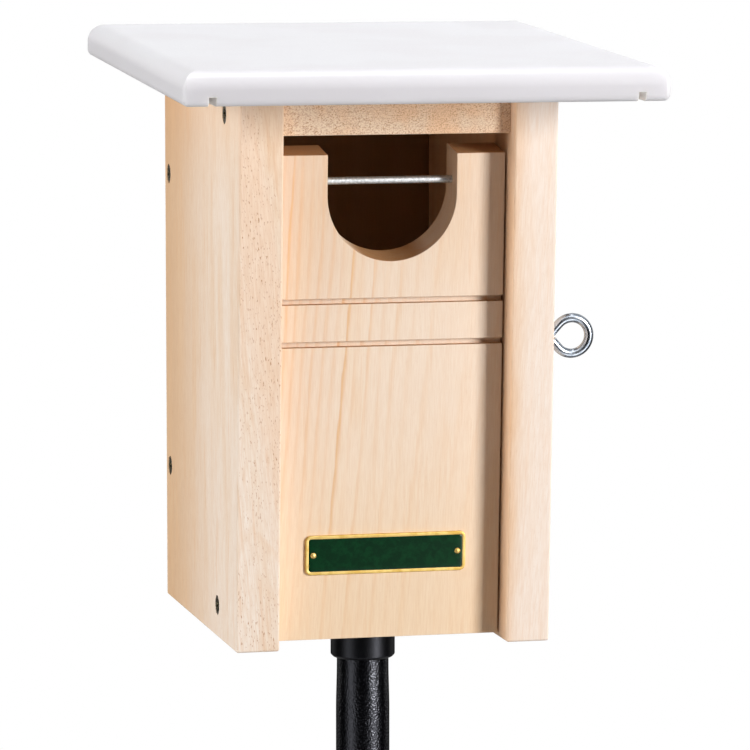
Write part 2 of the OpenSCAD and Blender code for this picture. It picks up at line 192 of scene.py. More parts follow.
class Term:
    """An output socket to do sums with, so that a material or a recipe reads as its formula."""

    def __init__(self, socket: bpy.types.NodeSocket) -> None:
        """Keeps the socket."""
        self.socket = socket

    def node(
        self,
        kind: str,
        inputs: Mapping[str | int, Any] | None = None,
        output: str | int = 0,
        **settings: Any,
    ) -> "Term":
        """Adds a node to this term's tree, as make does."""
        return make(self.socket.id_data, kind, inputs, output, **settings)

    def math(self, operation: str, *others: Any) -> "Term":
        """One Math node's result, with this term as its first number."""
        return self.node("ShaderNodeMath", dict(enumerate((self, *others))), operation=operation)

    def __add__(self, other: Any) -> "Term":
        """This number plus another."""
        return self.math("ADD", other)

    def __sub__(self, other: Any) -> "Term":
        """This number less another."""
        return self.math("SUBTRACT", other)

    def __mul__(self, other: Any) -> "Term":
        """This number times another."""
        return self.math("MULTIPLY", other)

    def __truediv__(self, other: Any) -> "Term":
        """This number divided by another."""
        return self.math("DIVIDE", other)

    def __abs__(self) -> "Term":
        """This number without its sign."""
        return self.math("ABSOLUTE")

    def at_least(self, other: Any) -> "Term":
        """The greater of this number and another."""
        return self.math("MAXIMUM", other)

    def vector(self, operation: str, *others: Any) -> "Term":
        """One Vector Math node's vector, or its number where it gives one."""
        output = "Value" if operation in {"LENGTH", "DOT_PRODUCT"} else "Vector"
        return self.node(
            "ShaderNodeVectorMath", dict(enumerate((self, *others))), output, operation=operation
        )

    def dot(self, way: Triple) -> "Term":
        """How far this vector reaches in a direction."""
        return self.vector("DOT_PRODUCT", way)

    def split(self) -> list["Term"]:
        """This vector's X, Y and Z."""
        parts = add_node(self.socket.id_data, "ShaderNodeSeparateXYZ", {0: self}).outputs
        return [Term(part) for part in parts]

    def facing(self) -> "Term":
        """The surface's normal in the piece's own frame."""
        return self.node("ShaderNodeTexCoord", output="Normal")

    def span(self, low: float, high: float, to: Pair = (0.0, 1.0)) -> "Term":
        """This number mapped smoothly, and held within its ends.

        Args:
            low: The value that gives the new range's start.
            high: The value that gives its end.
            to: The new range.

        Returns:
            The mapped number.
        """
        ends = {"From Min": low, "From Max": high, "To Min": to[0], "To Max": to[1]}
        sockets = {"Value": self, **ends}
        return self.node("ShaderNodeMapRange", sockets, "Result", interpolation_type="SMOOTHSTEP")

    def noise(
        self, size: Triple, detail: float = 2.0, rough: float = 0.5, colour: bool = False
    ) -> "Term":
        """Noise at this place, whose features have the given sizes in the place's units.

        Args:
            size: The size of a feature along each axis.
            detail: Octaves on top of the first.
            rough: The strength of each further octave.
            colour: True for three separate values.

        Returns:
            The noise, from 0 to 1.
        """
        place = self.vector("DIVIDE", size)
        sockets = {"Vector": place, "Scale": 1.0, "Detail": detail, "Roughness": rough}
        return self.node("ShaderNodeTexNoise", sockets, "Color" if colour else "Fac")

    def ramp(self, *stops: Pair) -> "Term":
        """This number through a soft ramp of greys.

        Args:
            *stops: Each stop's position and grey, those at the two ends first.

        Returns:
            The grey.
        """
        node = add_node(self.socket.id_data, "ShaderNodeValToRGB", {"Fac": self})
        node.color_ramp.interpolation = "B_SPLINE"
        elements = node.color_ramp.elements
        for i, (place, grey) in enumerate(stops):
            stop = elements[i] if i < 2 else elements.new(place)
            stop.position = place
            stop.color = (grey, grey, grey, 1.0)
        return Term(node.outputs[0])

    def bump(self, depth: float, strength: float) -> "Term":
        """The normal of a surface that rises by depth, in mm, where this number is 1."""
        sockets = {"Height": self, "Distance": depth * MM, "Strength": strength}
        return self.node("ShaderNodeBump", sockets)


def blend(amount: Any, first: Any, second: Any, way: str = "MIX") -> Term:
    """Mixes two colours, of which one or the amount is a term.

    Args:
        amount: The share of the second colour, from 0 to 1.
        first: The colour below.
        second: The colour on top.
        way: Blender's name of the blend.

    Returns:
        The colour.
    """
    known = next(value for value in (amount, first, second) if isinstance(value, Term))
    sockets = {"Factor": amount, "A": first, "B": second}
    return known.node("ShaderNodeMix", sockets, "Result", data_type="RGBA", blend_type=way)


def between(share: Term, first: Any, second: Any) -> Term:
    """The number that lies between two by a share from 0 to 1."""
    sockets = {"Factor": share, "A": first, "B": second}
    return share.node("ShaderNodeMix", sockets, "Result", data_type="FLOAT")


# ---------------------------------------------------------------- finishes


@dataclass(frozen=True)
class Finish(ABC):
    """A surface finish, which makes one material.

    Attributes:
        name: The material's name.
    """

    name: str

    @abstractmethod
    def shade(self, place: Term) -> Mapping[str, Any]:
        """Adds this finish's pattern.

        Args:
            place: The object coordinates, in mm.

        Returns:
            The sockets of the main shader and what each is set or linked to.
        """

    def material(self) -> bpy.types.Material:
        """Makes the material, unless it is already there.

        Returns:
            The material.
        """
        found = bpy.data.materials.get(self.name)
        if found:
            return found
        made = bpy.data.materials.new(self.name)
        tree = empty_tree(made)
        spot = make(tree, "ShaderNodeTexCoord", output="Object")
        place = spot.vector("MULTIPLY", (1 / MM,) * 3)
        shader = make(tree, "ShaderNodeBsdfPrincipled", self.shade(place))
        add_node(tree, "ShaderNodeOutputMaterial", {"Surface": shader})
        return made


@dataclass(frozen=True)
class Sawing:
    """How a board lay in its log.

    Attributes:
        grain: The direction of the grain.
        pith: Where the log's centre line passes, across the grain, in mm.
        lean: The centre line's lean from the grain direction, in degrees.
        ring: The ring spacing at that distance from the pith, in mm.
        ring_at: The distance from the pith that the spacing holds at, in mm.
        tightening: How fast the rings close up outwards; 1 is even.
        waver: How far the rings wander, in mm.
    """

    grain: Grain = Grain.UPRIGHT
    pith: Pair = (60.0, 20.0)
    lean: Pair = (0.0, 0.0)
    ring: float = 3.4
    ring_at: float = 100.0
    tightening: float = 1.7
    waver: float = 6.0

    def in_log(self, place: Term) -> Term:
        """Turns a place to the log's own frame.

        Args:
            place: The object coordinates, in mm.

        Returns:
            X and Y across the log from its pith, and Z along the grain.
        """
        flat = math.pi / 2 if self.grain is Grain.FRONT_TO_BACK else 0.0
        turn = (flat + math.radians(self.lean[0]), math.radians(self.lean[1]), 0.0)
        shift = (-self.pith[0], -self.pith[1], 0.0)
        sockets = {"Vector": place, "Rotation": turn, "Location": shift}
        return place.node("ShaderNodeMapping", sockets)

    def summer_wood(self, along: Term, own: Term) -> tuple[Term, Term]:
        """Grows the rings: pale at first, then darker up to a sharp end.

        Args:
            along: The place in the log's frame.
            own: The same, shifted for this board alone.

        Returns:
            The distance from the pith, and the strength of the summer wood from 0 to 1.
        """
        drift = own.noise((34, 34, 150), 1.0, colour=True).vector("SUBTRACT", (0.5,) * 3)
        drift = drift.vector("MULTIPLY", (self.waver * 2, self.waver * 2, 0.0))
        radius = along.vector("ADD", drift).vector("MULTIPLY", (1.0, 1.0, 0.0)).vector("LENGTH")
        count = self.ring_at / (self.tightening * self.ring)
        age = (radius / self.ring_at).math("POWER", self.tightening) * count
        fuzz = own.noise((1.6, 1.6, 26.0), 2.0)
        age = fuzz.math("MULTIPLY_ADD", 0.35, age)
        year = age.math("FRACT").ramp((0.0, 0.3), (1.0, 0.3), (0.1, 0.0), (0.62, 0.05), (0.88, 1.0))
        count_of = {"W": age.math("FLOOR")}
        each = age.node("ShaderNodeTexWhiteNoise", count_of, "Value", noise_dimensions="1D")
        fade = own.noise((30, 30, 120), 1.0).span(0.35, 0.62, (0.35, 1.0))
        return radius, year * each.span(0.0, 1.0, (0.25, 1.0)) * fade


@dataclass(frozen=True)
class PlanedPine(Finish):
    """Softwood board, planed and left bare: a satin straw colour with darker summer wood.

    The rings are solid, so faces, arrises and ends of one board agree. Ends are darker and
    open-pored, and resin canals show as short brown flecks on some faces. Some boards also
    carry painted light: painted roof shade at the top, painted warm bounce light on the right
    wall's inner face and painted shade on the back panel's.

    Attributes:
        sawing: How the board lay in its log.
        spring: The pale spring wood.
        summer: The orange-tan summer wood.
        warm: The tone that broad patches drift to.
        contrast: Strength of the summer wood.
        clear: Where the summer wood fades out, from and to, in mm across.
        drift: Strength of the patches.
        mellow: Where the warm tone sets in, from and to, in mm of height.
        painted_roof_shade: The tone that the top is multiplied by, a painted shade as if cast by
            the roof's overhang.
        painted_roof_shade_at: Where that painted shade sets in, from and to, in mm of height.
        heart: The tone that the wood turns to near the pith.
        heart_at: The distances from the pith where that tone begins and is full.
        streak_and_painted_light: The colour of a band with straight borders: a streak in the wood
            on the left wall, painted warm bounce light on the right wall's inner face, and painted
            shade on the back panel's inner face.
        streak_and_painted_light_way: The direction across that band, times its rise per mm.
        streak_and_painted_light_at: Where the band begins and ends along that direction.
        fibre: Strength of the fine fibres.
        veins: Strength of long, soft streaks of summer tone.
        flecks: Strength of the brown flecks.
        fleck: The size of a fleck across and along the grain, in mm.
        end: The colour that an end surface is multiplied by.
        seed: Shifts every pattern, so that no two boards are alike.
    """

    sawing: Sawing = Sawing()
    spring: str = "f6e0ca"
    summer: str = "eec296"
    warm: str = "efd0ac"
    contrast: float = 0.8
    clear: Pair = NOWHERE
    drift: float = 0.6
    mellow: Pair = NOWHERE
    painted_roof_shade: str = "f3e4d6"
    painted_roof_shade_at: Pair = NOWHERE
    heart: str = "e0bd97"
    heart_at: Pair = (1.0, 0.0)
    streak_and_painted_light: str = "e6c09a"
    streak_and_painted_light_way: Triple = (0.0, 0.0, 0.0)
    streak_and_painted_light_at: Pair = NOWHERE
    fibre: float = 0.25
    veins: float = 0.12
    flecks: float = 0.25
    fleck: Pair = (0.6, 2.2)
    end: str = "dfc3a2"
    seed: float = 0.0

    def shade(self, place: Term) -> Mapping[str, Any]:
        """Adds rings, drift, painted roof shade, the band, fibres, flecks and end grain.

        Args:
            place: The object coordinates, in mm.

        Returns:
            The sockets of the main shader.
        """
        along = self.sawing.in_log(place)
        own = along.vector("ADD", tuple(self.seed * step for step in SEED_STEP))
        radius, late = self.sawing.summer_wood(along, own)
        across, _, height = place.split()
        late = late * across.span(*self.clear, (1.0, 0.3))
        tone = blend(radius.span(*self.heart_at), paint(self.spring), paint(self.heart))
        patch = own.noise((17, 17, 120), 2.0).span(0.4, 0.68)
        warmth = (patch * self.drift).at_least(height.span(*self.mellow))
        tone = blend(warmth, tone, paint(self.warm))
        # Painted shade: the top darkens as if under the roof's overhang.
        tone = blend(height.span(*self.painted_roof_shade_at), tone, paint(self.painted_roof_shade), "MULTIPLY")
        tone = blend(late * self.contrast, tone, paint(self.summer))
        vein = own.noise((3.2, 3.2, 160), 2.0).span(0.56, 0.7)
        tone = blend(vein * self.veins, tone, paint(self.summer))
        # The band: a streak in the wood on the left wall, painted warm bounce light on the right
        # wall's inner face, painted shade on the back panel's inner face.
        inside = self.in_streak_and_painted_light(place, own)
        tone = blend(inside * 0.8, tone, paint(self.streak_and_painted_light))
        fibre = own.noise((0.55, 0.55, 30.0), 3.0, 0.6)
        threads = blend(fibre.span(0.25, 0.75), paint("ead3ba"), (1.02, 1.02, 1.02, 1.0))
        tone = blend(self.fibre, tone, threads, "MULTIPLY")
        facing = place.facing()
        tone = blend(self.resin(own, facing, inside), tone, paint("c08a5c"))
        ended = blend(1.0, tone, paint(self.end), "MULTIPLY")
        ended = blend(self.pores(own), ended, paint("bd8350"))
        on_end = abs(facing.dot(self.sawing.grain.value)).span(0.75, 0.93)
        return {
            "Base Color": blend(on_end, tone, ended),
            "Roughness": fibre.span(0.2, 0.8, (0.5, 0.68)),
            "Specular IOR Level": 0.3,
            "Normal": (fibre * 0.7 + late * 0.5).bump(0.12, 0.6),
        }

    def in_streak_and_painted_light(self, place: Term, own: Term) -> Term:
        """Where the band lies, with a soft first border and a crisper last one.

        Args:
            place: The object coordinates, in mm.
            own: The place in the log, shifted for this board alone.

        Returns:
            1 inside the band, 0 outside.
        """
        begin, end = self.streak_and_painted_light_at
        slant = place.dot(self.streak_and_painted_light_way) + own.noise((7, 7, 40), 2.0) * 9.0
        return slant.span(begin - 7, begin + 7) * slant.span(end + 2, end - 2)

    def resin(self, own: Term, facing: Term, inside: Term) -> Term:
        """The resin canals: short flecks in groups, most of them in the band.

        Args:
            own: The place in the log, shifted for this board alone.
            facing: The surface's normal.
            inside: Where the band lies.

        Returns:
            The strength of the flecks.
        """
        wide, tall = self.fleck
        broadside = abs(facing.dot((1.0, 0.0, 0.0)))
        spot = own.noise((wide, wide, tall), 1.0).span(0.62, 0.74)
        spot = spot * broadside.span(0.4, 0.9, (1.0, 0.25))
        group = own.noise((12, 12, 60), 1.0).span(0.42, 0.6, (0.15, 1.0))
        return spot * group.at_least(inside) * self.flecks

    @staticmethod
    def pores(own: Term) -> Term:
        """The open pores of end grain: irregular, about half a millimetre, in cloudy groups."""
        mottled = own.noise((3, 3, 9), 3.0, 0.6).span(0.3, 0.65, (0.45, 0.85))
        return own.noise((0.75, 0.6, 3.0), 3.0, 0.7).span(0.42, 0.66) * mottled


@dataclass(frozen=True)
class MouldedPolyethylene(Finish):
    """High-density polyethylene board, routed: dull white with a soft waxy sheen.

    It lets some light through, and the drip grooves are painted near white: painted light that
    brightens the shade in them.

    Attributes:
        groove_at: The distance of a groove's middle from the middle of the board, in mm.
        groove: The width and depth of a groove, in mm.
    """

    groove_at: float = 91.9
    groove: Pair = (3.2, 4.0)

    def shade(self, place: Term) -> Mapping[str, Any]:
        """Adds the faint stipple of the faces, the cutter marks of the edges and the painted light
        in the grooves.

        Args:
            place: The object coordinates, in mm.

        Returns:
            The sockets of the main shader.
        """
        stipple = place.noise((0.9, 0.9, 0.9), 3.0, 0.6)
        marks = place.noise((1.3, 1.3, 14.0), 2.0)
        broad = place.noise((45, 45, 45), 1.0)
        edge = abs(place.facing().dot((0.0, 0.0, 1.0))).span(0.9, 0.3)
        tone = blend(broad.span(0.35, 0.65), paint("dbdce1"), paint("d8d8dd"))
        tone = blend(edge * marks.span(0.3, 0.7, (0.6, 0.9)), tone, paint("dad9de"))
        return {
            # Painted light: the grooves' faces, which lie in shade, are painted near white.
            "Base Color": blend(self.in_groove(place), tone, paint("fffdfa")),
            "Roughness": stipple.span(0.3, 0.7, (0.34, 0.44)),
            "Specular IOR Level": 0.42,
            "Subsurface Weight": 0.8,
            "Subsurface Radius": (1.0, 1.0, 1.0),
            "Subsurface Scale": 0.007,
            "Normal": (stipple * 0.5 + marks * edge * 0.35).bump(0.04, 0.5),
        }

    def in_groove(self, place: Term) -> Term:
        """Where the drip grooves lie.

        Args:
            place: The object coordinates, in mm.

        Returns:
            1 inside a groove, 0 outside.
        """
        wide, deep = self.groove
        up = ROOF.inverted()[2]
        level = place.dot(tuple(MM * v for v in up[:3])) + up[3]
        off = abs(abs(place.split()[0]) - self.groove_at)
        return off.span(wide / 2 + 0.15, wide / 2 + 0.05) * level.span(deep + 0.3, deep + 0.1)


@dataclass(frozen=True)
class PlatedSteel(Finish):
    """Steel wire or screw with a bright or passivated zinc plate, cold formed and tumbled.

    Attributes:
        light: The plate's main colour.
        dark: The colour of its dull patches.
        dull: The lowest and highest roughness.
        patch: The size of a patch in mm.
        depth: The height of its unevenness in mm.
    """

    light: str = "c6cdd7"
    dark: str = "a5afbb"
    dull: Pair = (0.17, 0.27)
    patch: float = 2.5
    depth: float = 0.01

    def shade(self, place: Term) -> Mapping[str, Any]:
        """Adds cloudy patches and a slight unevenness.

        Args:
            place: The object coordinates, in mm.

        Returns:
            The sockets of the main shader.
        """
        cloud = place.noise((self.patch,) * 3, 3.0, 0.6)
        fine = place.noise((self.patch / 5,) * 3, 2.0)
        return {
            "Base Color": blend(cloud.span(0.35, 0.65), paint(self.light), paint(self.dark)),
            "Metallic": 1.0,
            "Roughness": cloud.span(0.3, 0.7, self.dull),
            "Normal": (cloud + fine).bump(self.depth, 0.7),
        }


@dataclass(frozen=True)
class CastBrass(Finish):
    """Brass, pressed and lacquered: warm gold with a fine grain on its rim."""

    def shade(self, place: Term) -> Mapping[str, Any]:
        """Adds a fine grain of 0.35 mm and broader tarnish.

        Args:
            place: The object coordinates, in mm.

        Returns:
            The sockets of the main shader.
        """
        grain = place.noise((0.35,) * 3, 2.0)
        tarnish = place.noise((4.0,) * 3, 2.0)
        return {
            "Base Color": blend(tarnish.span(0.35, 0.7), paint("dfc279"), paint("cba656")),
            "Metallic": 1.0,
            "Roughness": grain.span(0.3, 0.7, (0.4, 0.52)),
            "Normal": grain.bump(0.03, 0.7),
        }


@dataclass(frozen=True)
class HardEnamel(Finish):
    """Vitreous enamel, fired into a recess: deep green under a glassy skin."""

    def shade(self, place: Term) -> Mapping[str, Any]:
        """Adds the slight clouding and the wavy skin of a fired filling.

        Args:
            place: The object coordinates, in mm.

        Returns:
            The sockets of the main shader.
        """
        cloud = place.noise((3.0,) * 3, 3.0, 0.6)
        wave = place.noise((5.0,) * 3, 1.0)
        return {
            "Base Color": blend(cloud.span(0.35, 0.7), paint("052d18"), paint("07391e")),
            "Roughness": 0.22,
            "Specular IOR Level": 0.3,
            "Coat Weight": 0.15,
            "Coat Roughness": 0.08,
            "Normal": wave.bump(0.04, 0.5),
        }


@dataclass(frozen=True)
class BlackCoat(Finish):
    """Black powder coat on steel: soft sheen, with the dimples of baked powder.

    Attributes:
        dimple: The size of a dimple in mm.
        depth: Its depth in mm.
        dull: The lowest roughness.
        gloss: The specular level.
    """

    dimple: float = 0.7
    depth: float = 0.02
    dull: float = 0.42
    gloss: float = 0.5

    def shade(self, place: Term) -> Mapping[str, Any]:
        """Adds dimples, and dust-grey variation in the black.

        Args:
            place: The object coordinates, in mm.

        Returns:
            The sockets of the main shader.
        """
        dimples = place.noise((self.dimple,) * 3, 1.5)
        dust = place.noise((9.0, 9.0, 14.0), 2.0)
        return {
            "Base Color": blend(dust.span(0.4, 0.7), paint("010102"), paint("040405")),
            "Specular IOR Level": self.gloss,
            "Specular Tint": (0.86, 0.88, 1.0, 1.0),
            "Roughness": dimples.span(0.3, 0.7, (self.dull, self.dull + 0.06)),
            "Normal": dimples.bump(self.depth, 0.8),
        }


LEFT_WALL_PINE = PlanedPine(
    "planed_pine_left_wall",
    Sawing(pith=(-48, 262), lean=(0.6, 5.0), ring=2.6, ring_at=200, waver=4.0),
    spring="fcf0e4",
    summer="e9bc8a",
    contrast=0.34,
    drift=0.4,
    heart="e4c3a0",
    heart_at=(300.0, 165.0),
    # A streak in the wood, across the front edge.
    streak_and_painted_light="f8dfc8",
    streak_and_painted_light_way=(1.0, -3.0, 0.02),
    streak_and_painted_light_at=(149.0, 168.5),
    fibre=0.5,
    veins=0.28,
    # Painted shade of the roof's overhang on the top of the wall.
    painted_roof_shade="f9efe4",
    painted_roof_shade_at=(480.0, 545.0),
    flecks=0.8,
    fleck=(0.55, 1.7),
    seed=1.0,
)
RIGHT_WALL_PINE = PlanedPine(
    "planed_pine_right_wall",
    Sawing(pith=(-90, 40), lean=(0.5, -3.0), ring=5.0, ring_at=150),
    spring="f9ece1",
    warm="f3d9bd",
    contrast=0.3,
    drift=0.25,
    heart="f7dec2",
    heart_at=(163.0, 150.0),
    # Painted warm bounce light on the inner face beside the door.
    streak_and_painted_light="e9bd8e",
    streak_and_painted_light_way=(-1.0, 0.0, 0.0),
    streak_and_painted_light_at=(-48.0, 900.0),
    fibre=0.35,
    flecks=0.1,
    fleck=(0.55, 1.7),
    seed=2.0,
)
# A darker pine, made darker still as painted shade for the inside of the chamber.
BACK_PINE = PlanedPine(
    "planed_pine_back",
    Sawing(pith=(15, 190), lean=(0.6, 1.2), ring=4.4, ring_at=90),
    spring="c9a47a",
    summer="a5774c",
    warm="b8935f",
    contrast=0.7,
    # Painted shade on the inner face, inside the chamber.
    streak_and_painted_light="946a48",
    streak_and_painted_light_way=(0.0, -1.0, 0.0),
    streak_and_painted_light_at=(-88.0, 900.0),
    flecks=0.1,
    seed=3.0,
)
CEILING_PINE = PlanedPine(
    "cross_cut_pine_ceiling",
    Sawing(Grain.FRONT_TO_BACK, (18, 225), (0.0, 1.0), 5.5, 60),
    spring="ffefdc",
    summer="f0c89e",
    warm="fdd8b6",
    contrast=0.5,
    drift=0.8,
    end="fffaf2",
    seed=4.0,
)
FLOOR_PINE = PlanedPine(
    "planed_pine_floor",
    Sawing(Grain.FRONT_TO_BACK, (-30, -330), (0.0, 0.8), 4.5, 60),
    contrast=0.7,
    seed=5.0,
)
DOOR_PINE = PlanedPine(
    "planed_pine_door",
    Sawing(pith=(78, 40), lean=(0.4, -1.2), ring=4.4, ring_at=125, tightening=1.9, waver=3.0),
    spring="eed9c5",
    summer="e8b16c",
    heart="f8e6d3",
    heart_at=(168.0, 138.0),
    warm="f8dfc0",
    contrast=0.92,
    clear=(-24.0, 6.0),
    drift=0.3,
    mellow=(420.0, 300.0),
    # Painted shade of the roof's overhang on the top of the door.
    painted_roof_shade="f6f2ee",
    painted_roof_shade_at=(430.0, 500.0),
    flecks=0.06,
    # Partly the end grain's own darker tone, partly painted shade on end faces that lie in shade:
    # the door's top, the entrance's sill and the grooves' ledges.
    end="cbb08f",
)
POLYETHYLENE = MouldedPolyethylene("routed_white_polyethylene")
BRIGHT_ZINC = PlatedSteel("bright_zinc_plated_wire")
SCREW_ZINC = PlatedSteel("passivated_zinc_screws", "a59c78", "4a4636", (0.2, 0.36), 0.9, 0.08)
GALVANISED = PlatedSteel("hot_dip_galvanised_rod", "d4d6d7", "b4b7b8", (0.42, 0.6), 1.1, 0.06)
POLE_COAT = BlackCoat("hammered_black_pole_coat", 0.88, 0.29, 0.15, 0.6)
COLLAR_COAT = BlackCoat("satin_black_flange_coat", 0.5, 0.06, 0.29, 0.42)
BRASS = CastBrass("pressed_lacquered_brass")
ENAMEL = HardEnamel("fired_green_enamel")


# ---------------------------------------------------------------- meshes


def add_object(name: str, data: bpy.types.ID) -> bpy.types.Object:
    """Makes an object and links it to the scene.

    Args:
        name: Its name.
        data: Its mesh, lamp or camera.

    Returns:
        The object, at the origin.
    """
    obj = bpy.data.objects.new(name, data)
    bpy.context.scene.collection.objects.link(obj)
    return obj


def mesh_object(name: str, bm: bmesh.types.BMesh, place: Matrix) -> bpy.types.Object:
    """Turns a bmesh into an object at the origin, with its place in its mesh.

    Args:
        name: The piece's name.
        bm: The mesh in mm, which this frees.
        place: The matrix from its own frame to the shared one.

    Returns:
        The linked object.
    """
    bmesh.ops.remove_doubles(bm, verts=bm.verts, dist=1e-4)
    bmesh.ops.recalc_face_normals(bm, faces=bm.faces)
    bm.transform(place)
    mesh = bpy.data.meshes.new(name)
    bm.to_mesh(mesh)
    bm.free()
    return add_object(name, mesh)


def settle(obj: bpy.types.Object) -> None:
    """Turns an object's modifiers into its mesh.

    Args:
        obj: The object.
    """
    graph = bpy.context.evaluated_depsgraph_get()
    made = bpy.data.meshes.new_from_object(
        obj.evaluated_get(graph), preserve_all_data_layers=True, depsgraph=graph
    )
    old = obj.data
    obj.modifiers.clear()
    obj.data = made
    made.name = obj.name
    bpy.data.meshes.remove(old)


def smooth(obj: bpy.types.Object, sharp: float = 40.0) -> bpy.types.Object:
    """Shades an object smooth, with its flat faces kept flat.

    Args:
        obj: The object.
        sharp: The angle in degrees from which an edge stays sharp.

    Returns:
        The same object.
    """
    obj.data.shade_smooth()
    obj.data.set_sharp_from_angle(angle=math.radians(sharp))
    weighted = obj.modifiers.new("flat_faces", "WEIGHTED_NORMAL")
    weighted.keep_sharp = True
    weighted.weight = 90
    settle(obj)
    return obj


def carve(obj: bpy.types.Object, cutter: bpy.types.Object) -> None:
    """Cuts one object out of another and removes the cutter.

    Args:
        obj: The object that stays.
        cutter: The object that is cut out of it.
    """
    cut = obj.modifiers.new("cut", "BOOLEAN")
    cut.operation, cut.solver, cut.object = "DIFFERENCE", "EXACT", cutter
    cut.use_self = True
    settle(obj)
    mesh = cutter.data
    bpy.data.objects.remove(cutter)
    bpy.data.meshes.remove(mesh)


def arc(
    radius: float, start: float, stop: float, steps: int, centre: Pair = (0.0, 0.0)
) -> list[Pair]:
    """Draws an arc.

    Args:
        radius: Its radius.
        start: The angle of its first point, in degrees.
        stop: The angle of its last point.
        steps: How many straight pieces it has.
        centre: Its centre.

    Returns:
        Its points.
    """
    angles = [math.radians(start + (stop - start) * k / steps) for k in range(steps + 1)]
    return [(centre[0] + radius * math.cos(a), centre[1] + radius * math.sin(a)) for a in angles]


def prism(
    outline: Sequence[Pair], low: float, high: float, plane: Plane, arris: float = 0.0
) -> bmesh.types.BMesh:
    """A straight length of an outline, its corners eased.

    Args:
        outline: The corners in order.
        low: Where it starts across its plane.
        high: Where it ends.
        plane: The plane that the outline lies in.
        arris: The width of the easing along its edges, or 0.

    Returns:
        The mesh in mm.
    """
    bm = bmesh.new()
    ends = [[bm.verts.new((u, v, w)) for u, v in outline] for w in (low, high)]
    bm.faces.new(ends[0][::-1])
    bm.faces.new(ends[1])
    for i in range(len(outline)):
        j = (i + 1) % len(outline)
        bm.faces.new((ends[0][i], ends[0][j], ends[1][j], ends[1][i]))
    if arris:
        bm.normal_update()
        edges = [e for e in bm.edges if e.calc_face_angle(0.0) > math.radians(25)]
        bmesh.ops.bevel(
            bm,
            geom=edges,
            offset=arris,
            segments=3,
            profile=0.5,
            affect="EDGES",
            clamp_overlap=True,
        )
    bm.transform(plane.turn)
    return bm


def lathe(
    profile: Sequence[Pair],
    steps: int = 64,
    closed: bool = False,
    bm: bmesh.types.BMesh | None = None,
    place: Matrix | None = None,
) -> bmesh.types.BMesh:
    """A turned shape about Z.

    Args:
        profile: Radius and height of each point; a radius of 0 is a pole.
        steps: How many flats it has.
        closed: True where the last point joins the first, as on a tube.
        bm: A mesh to add to.
        place: Where to put the shape in it.

    Returns:
        The mesh in mm.
    """
    bm = bm or bmesh.new()
    place = place or Matrix()
    turn = [2 * math.pi * k / steps for k in range(steps)]
    rings = []
    for r, z in profile:
        if r < 1e-6:
            rings.append([bm.verts.new(place @ Vector((0, 0, z)))] * steps)
        else:
            spots = (Vector((r * math.cos(a), r * math.sin(a), z)) for a in turn)
            rings.append([bm.verts.new(place @ spot) for spot in spots])
    pairs = list(zip(rings, rings[1:], strict=False))
    if closed:
        pairs.append((rings[-1], rings[0]))
    for a, b in pairs:
        for k in range(steps):
            m = (k + 1) % steps
            corners = list(dict.fromkeys((a[k], a[m], b[m], b[k])))
            if len(corners) > 2:
                bm.faces.new(corners)
    return bm


def ring_stack(
    half: Pair, centre: Pair, corner: float, levels: Sequence[Pair], steps: int = 6
) -> bmesh.types.BMesh:
    """A slab of stacked rounded rectangles, each drawn in by its own inset.

    Args:
        half: Half the width and half the depth.
        centre: The middle of the slab.
        corner: The radius of its corners at no inset.
        levels: Inset and height of each ring, in order.
        steps: Segments in each corner.

    Returns:
        The mesh in mm.
    """
    least_corner = 0.3
    bm = bmesh.new()
    rings = []
    for inset, height in levels:
        r = max(corner - inset, least_corner)
        ring = []
        for quarter, (sx, sy) in enumerate(((1, 1), (-1, 1), (-1, -1), (1, -1))):
            cx = centre[0] + sx * (half[0] - inset - r)
            cy = centre[1] + sy * (half[1] - inset - r)
            for k in range(steps + 1):
                a = math.pi / 2 * (quarter + k / steps)
                ring.append(bm.verts.new((cx + r * math.cos(a), cy + r * math.sin(a), height)))
        rings.append(ring)
    bm.faces.new(rings[0][::-1])
    bm.faces.new(rings[-1])
    for a, b in zip(rings, rings[1:], strict=False):
        for k in range(len(a)):
            m = (k + 1) % len(a)
            bm.faces.new((a[k], a[m], b[m], b[k]))
    return bm


# ---------------------------------------------------------------- geometry nodes


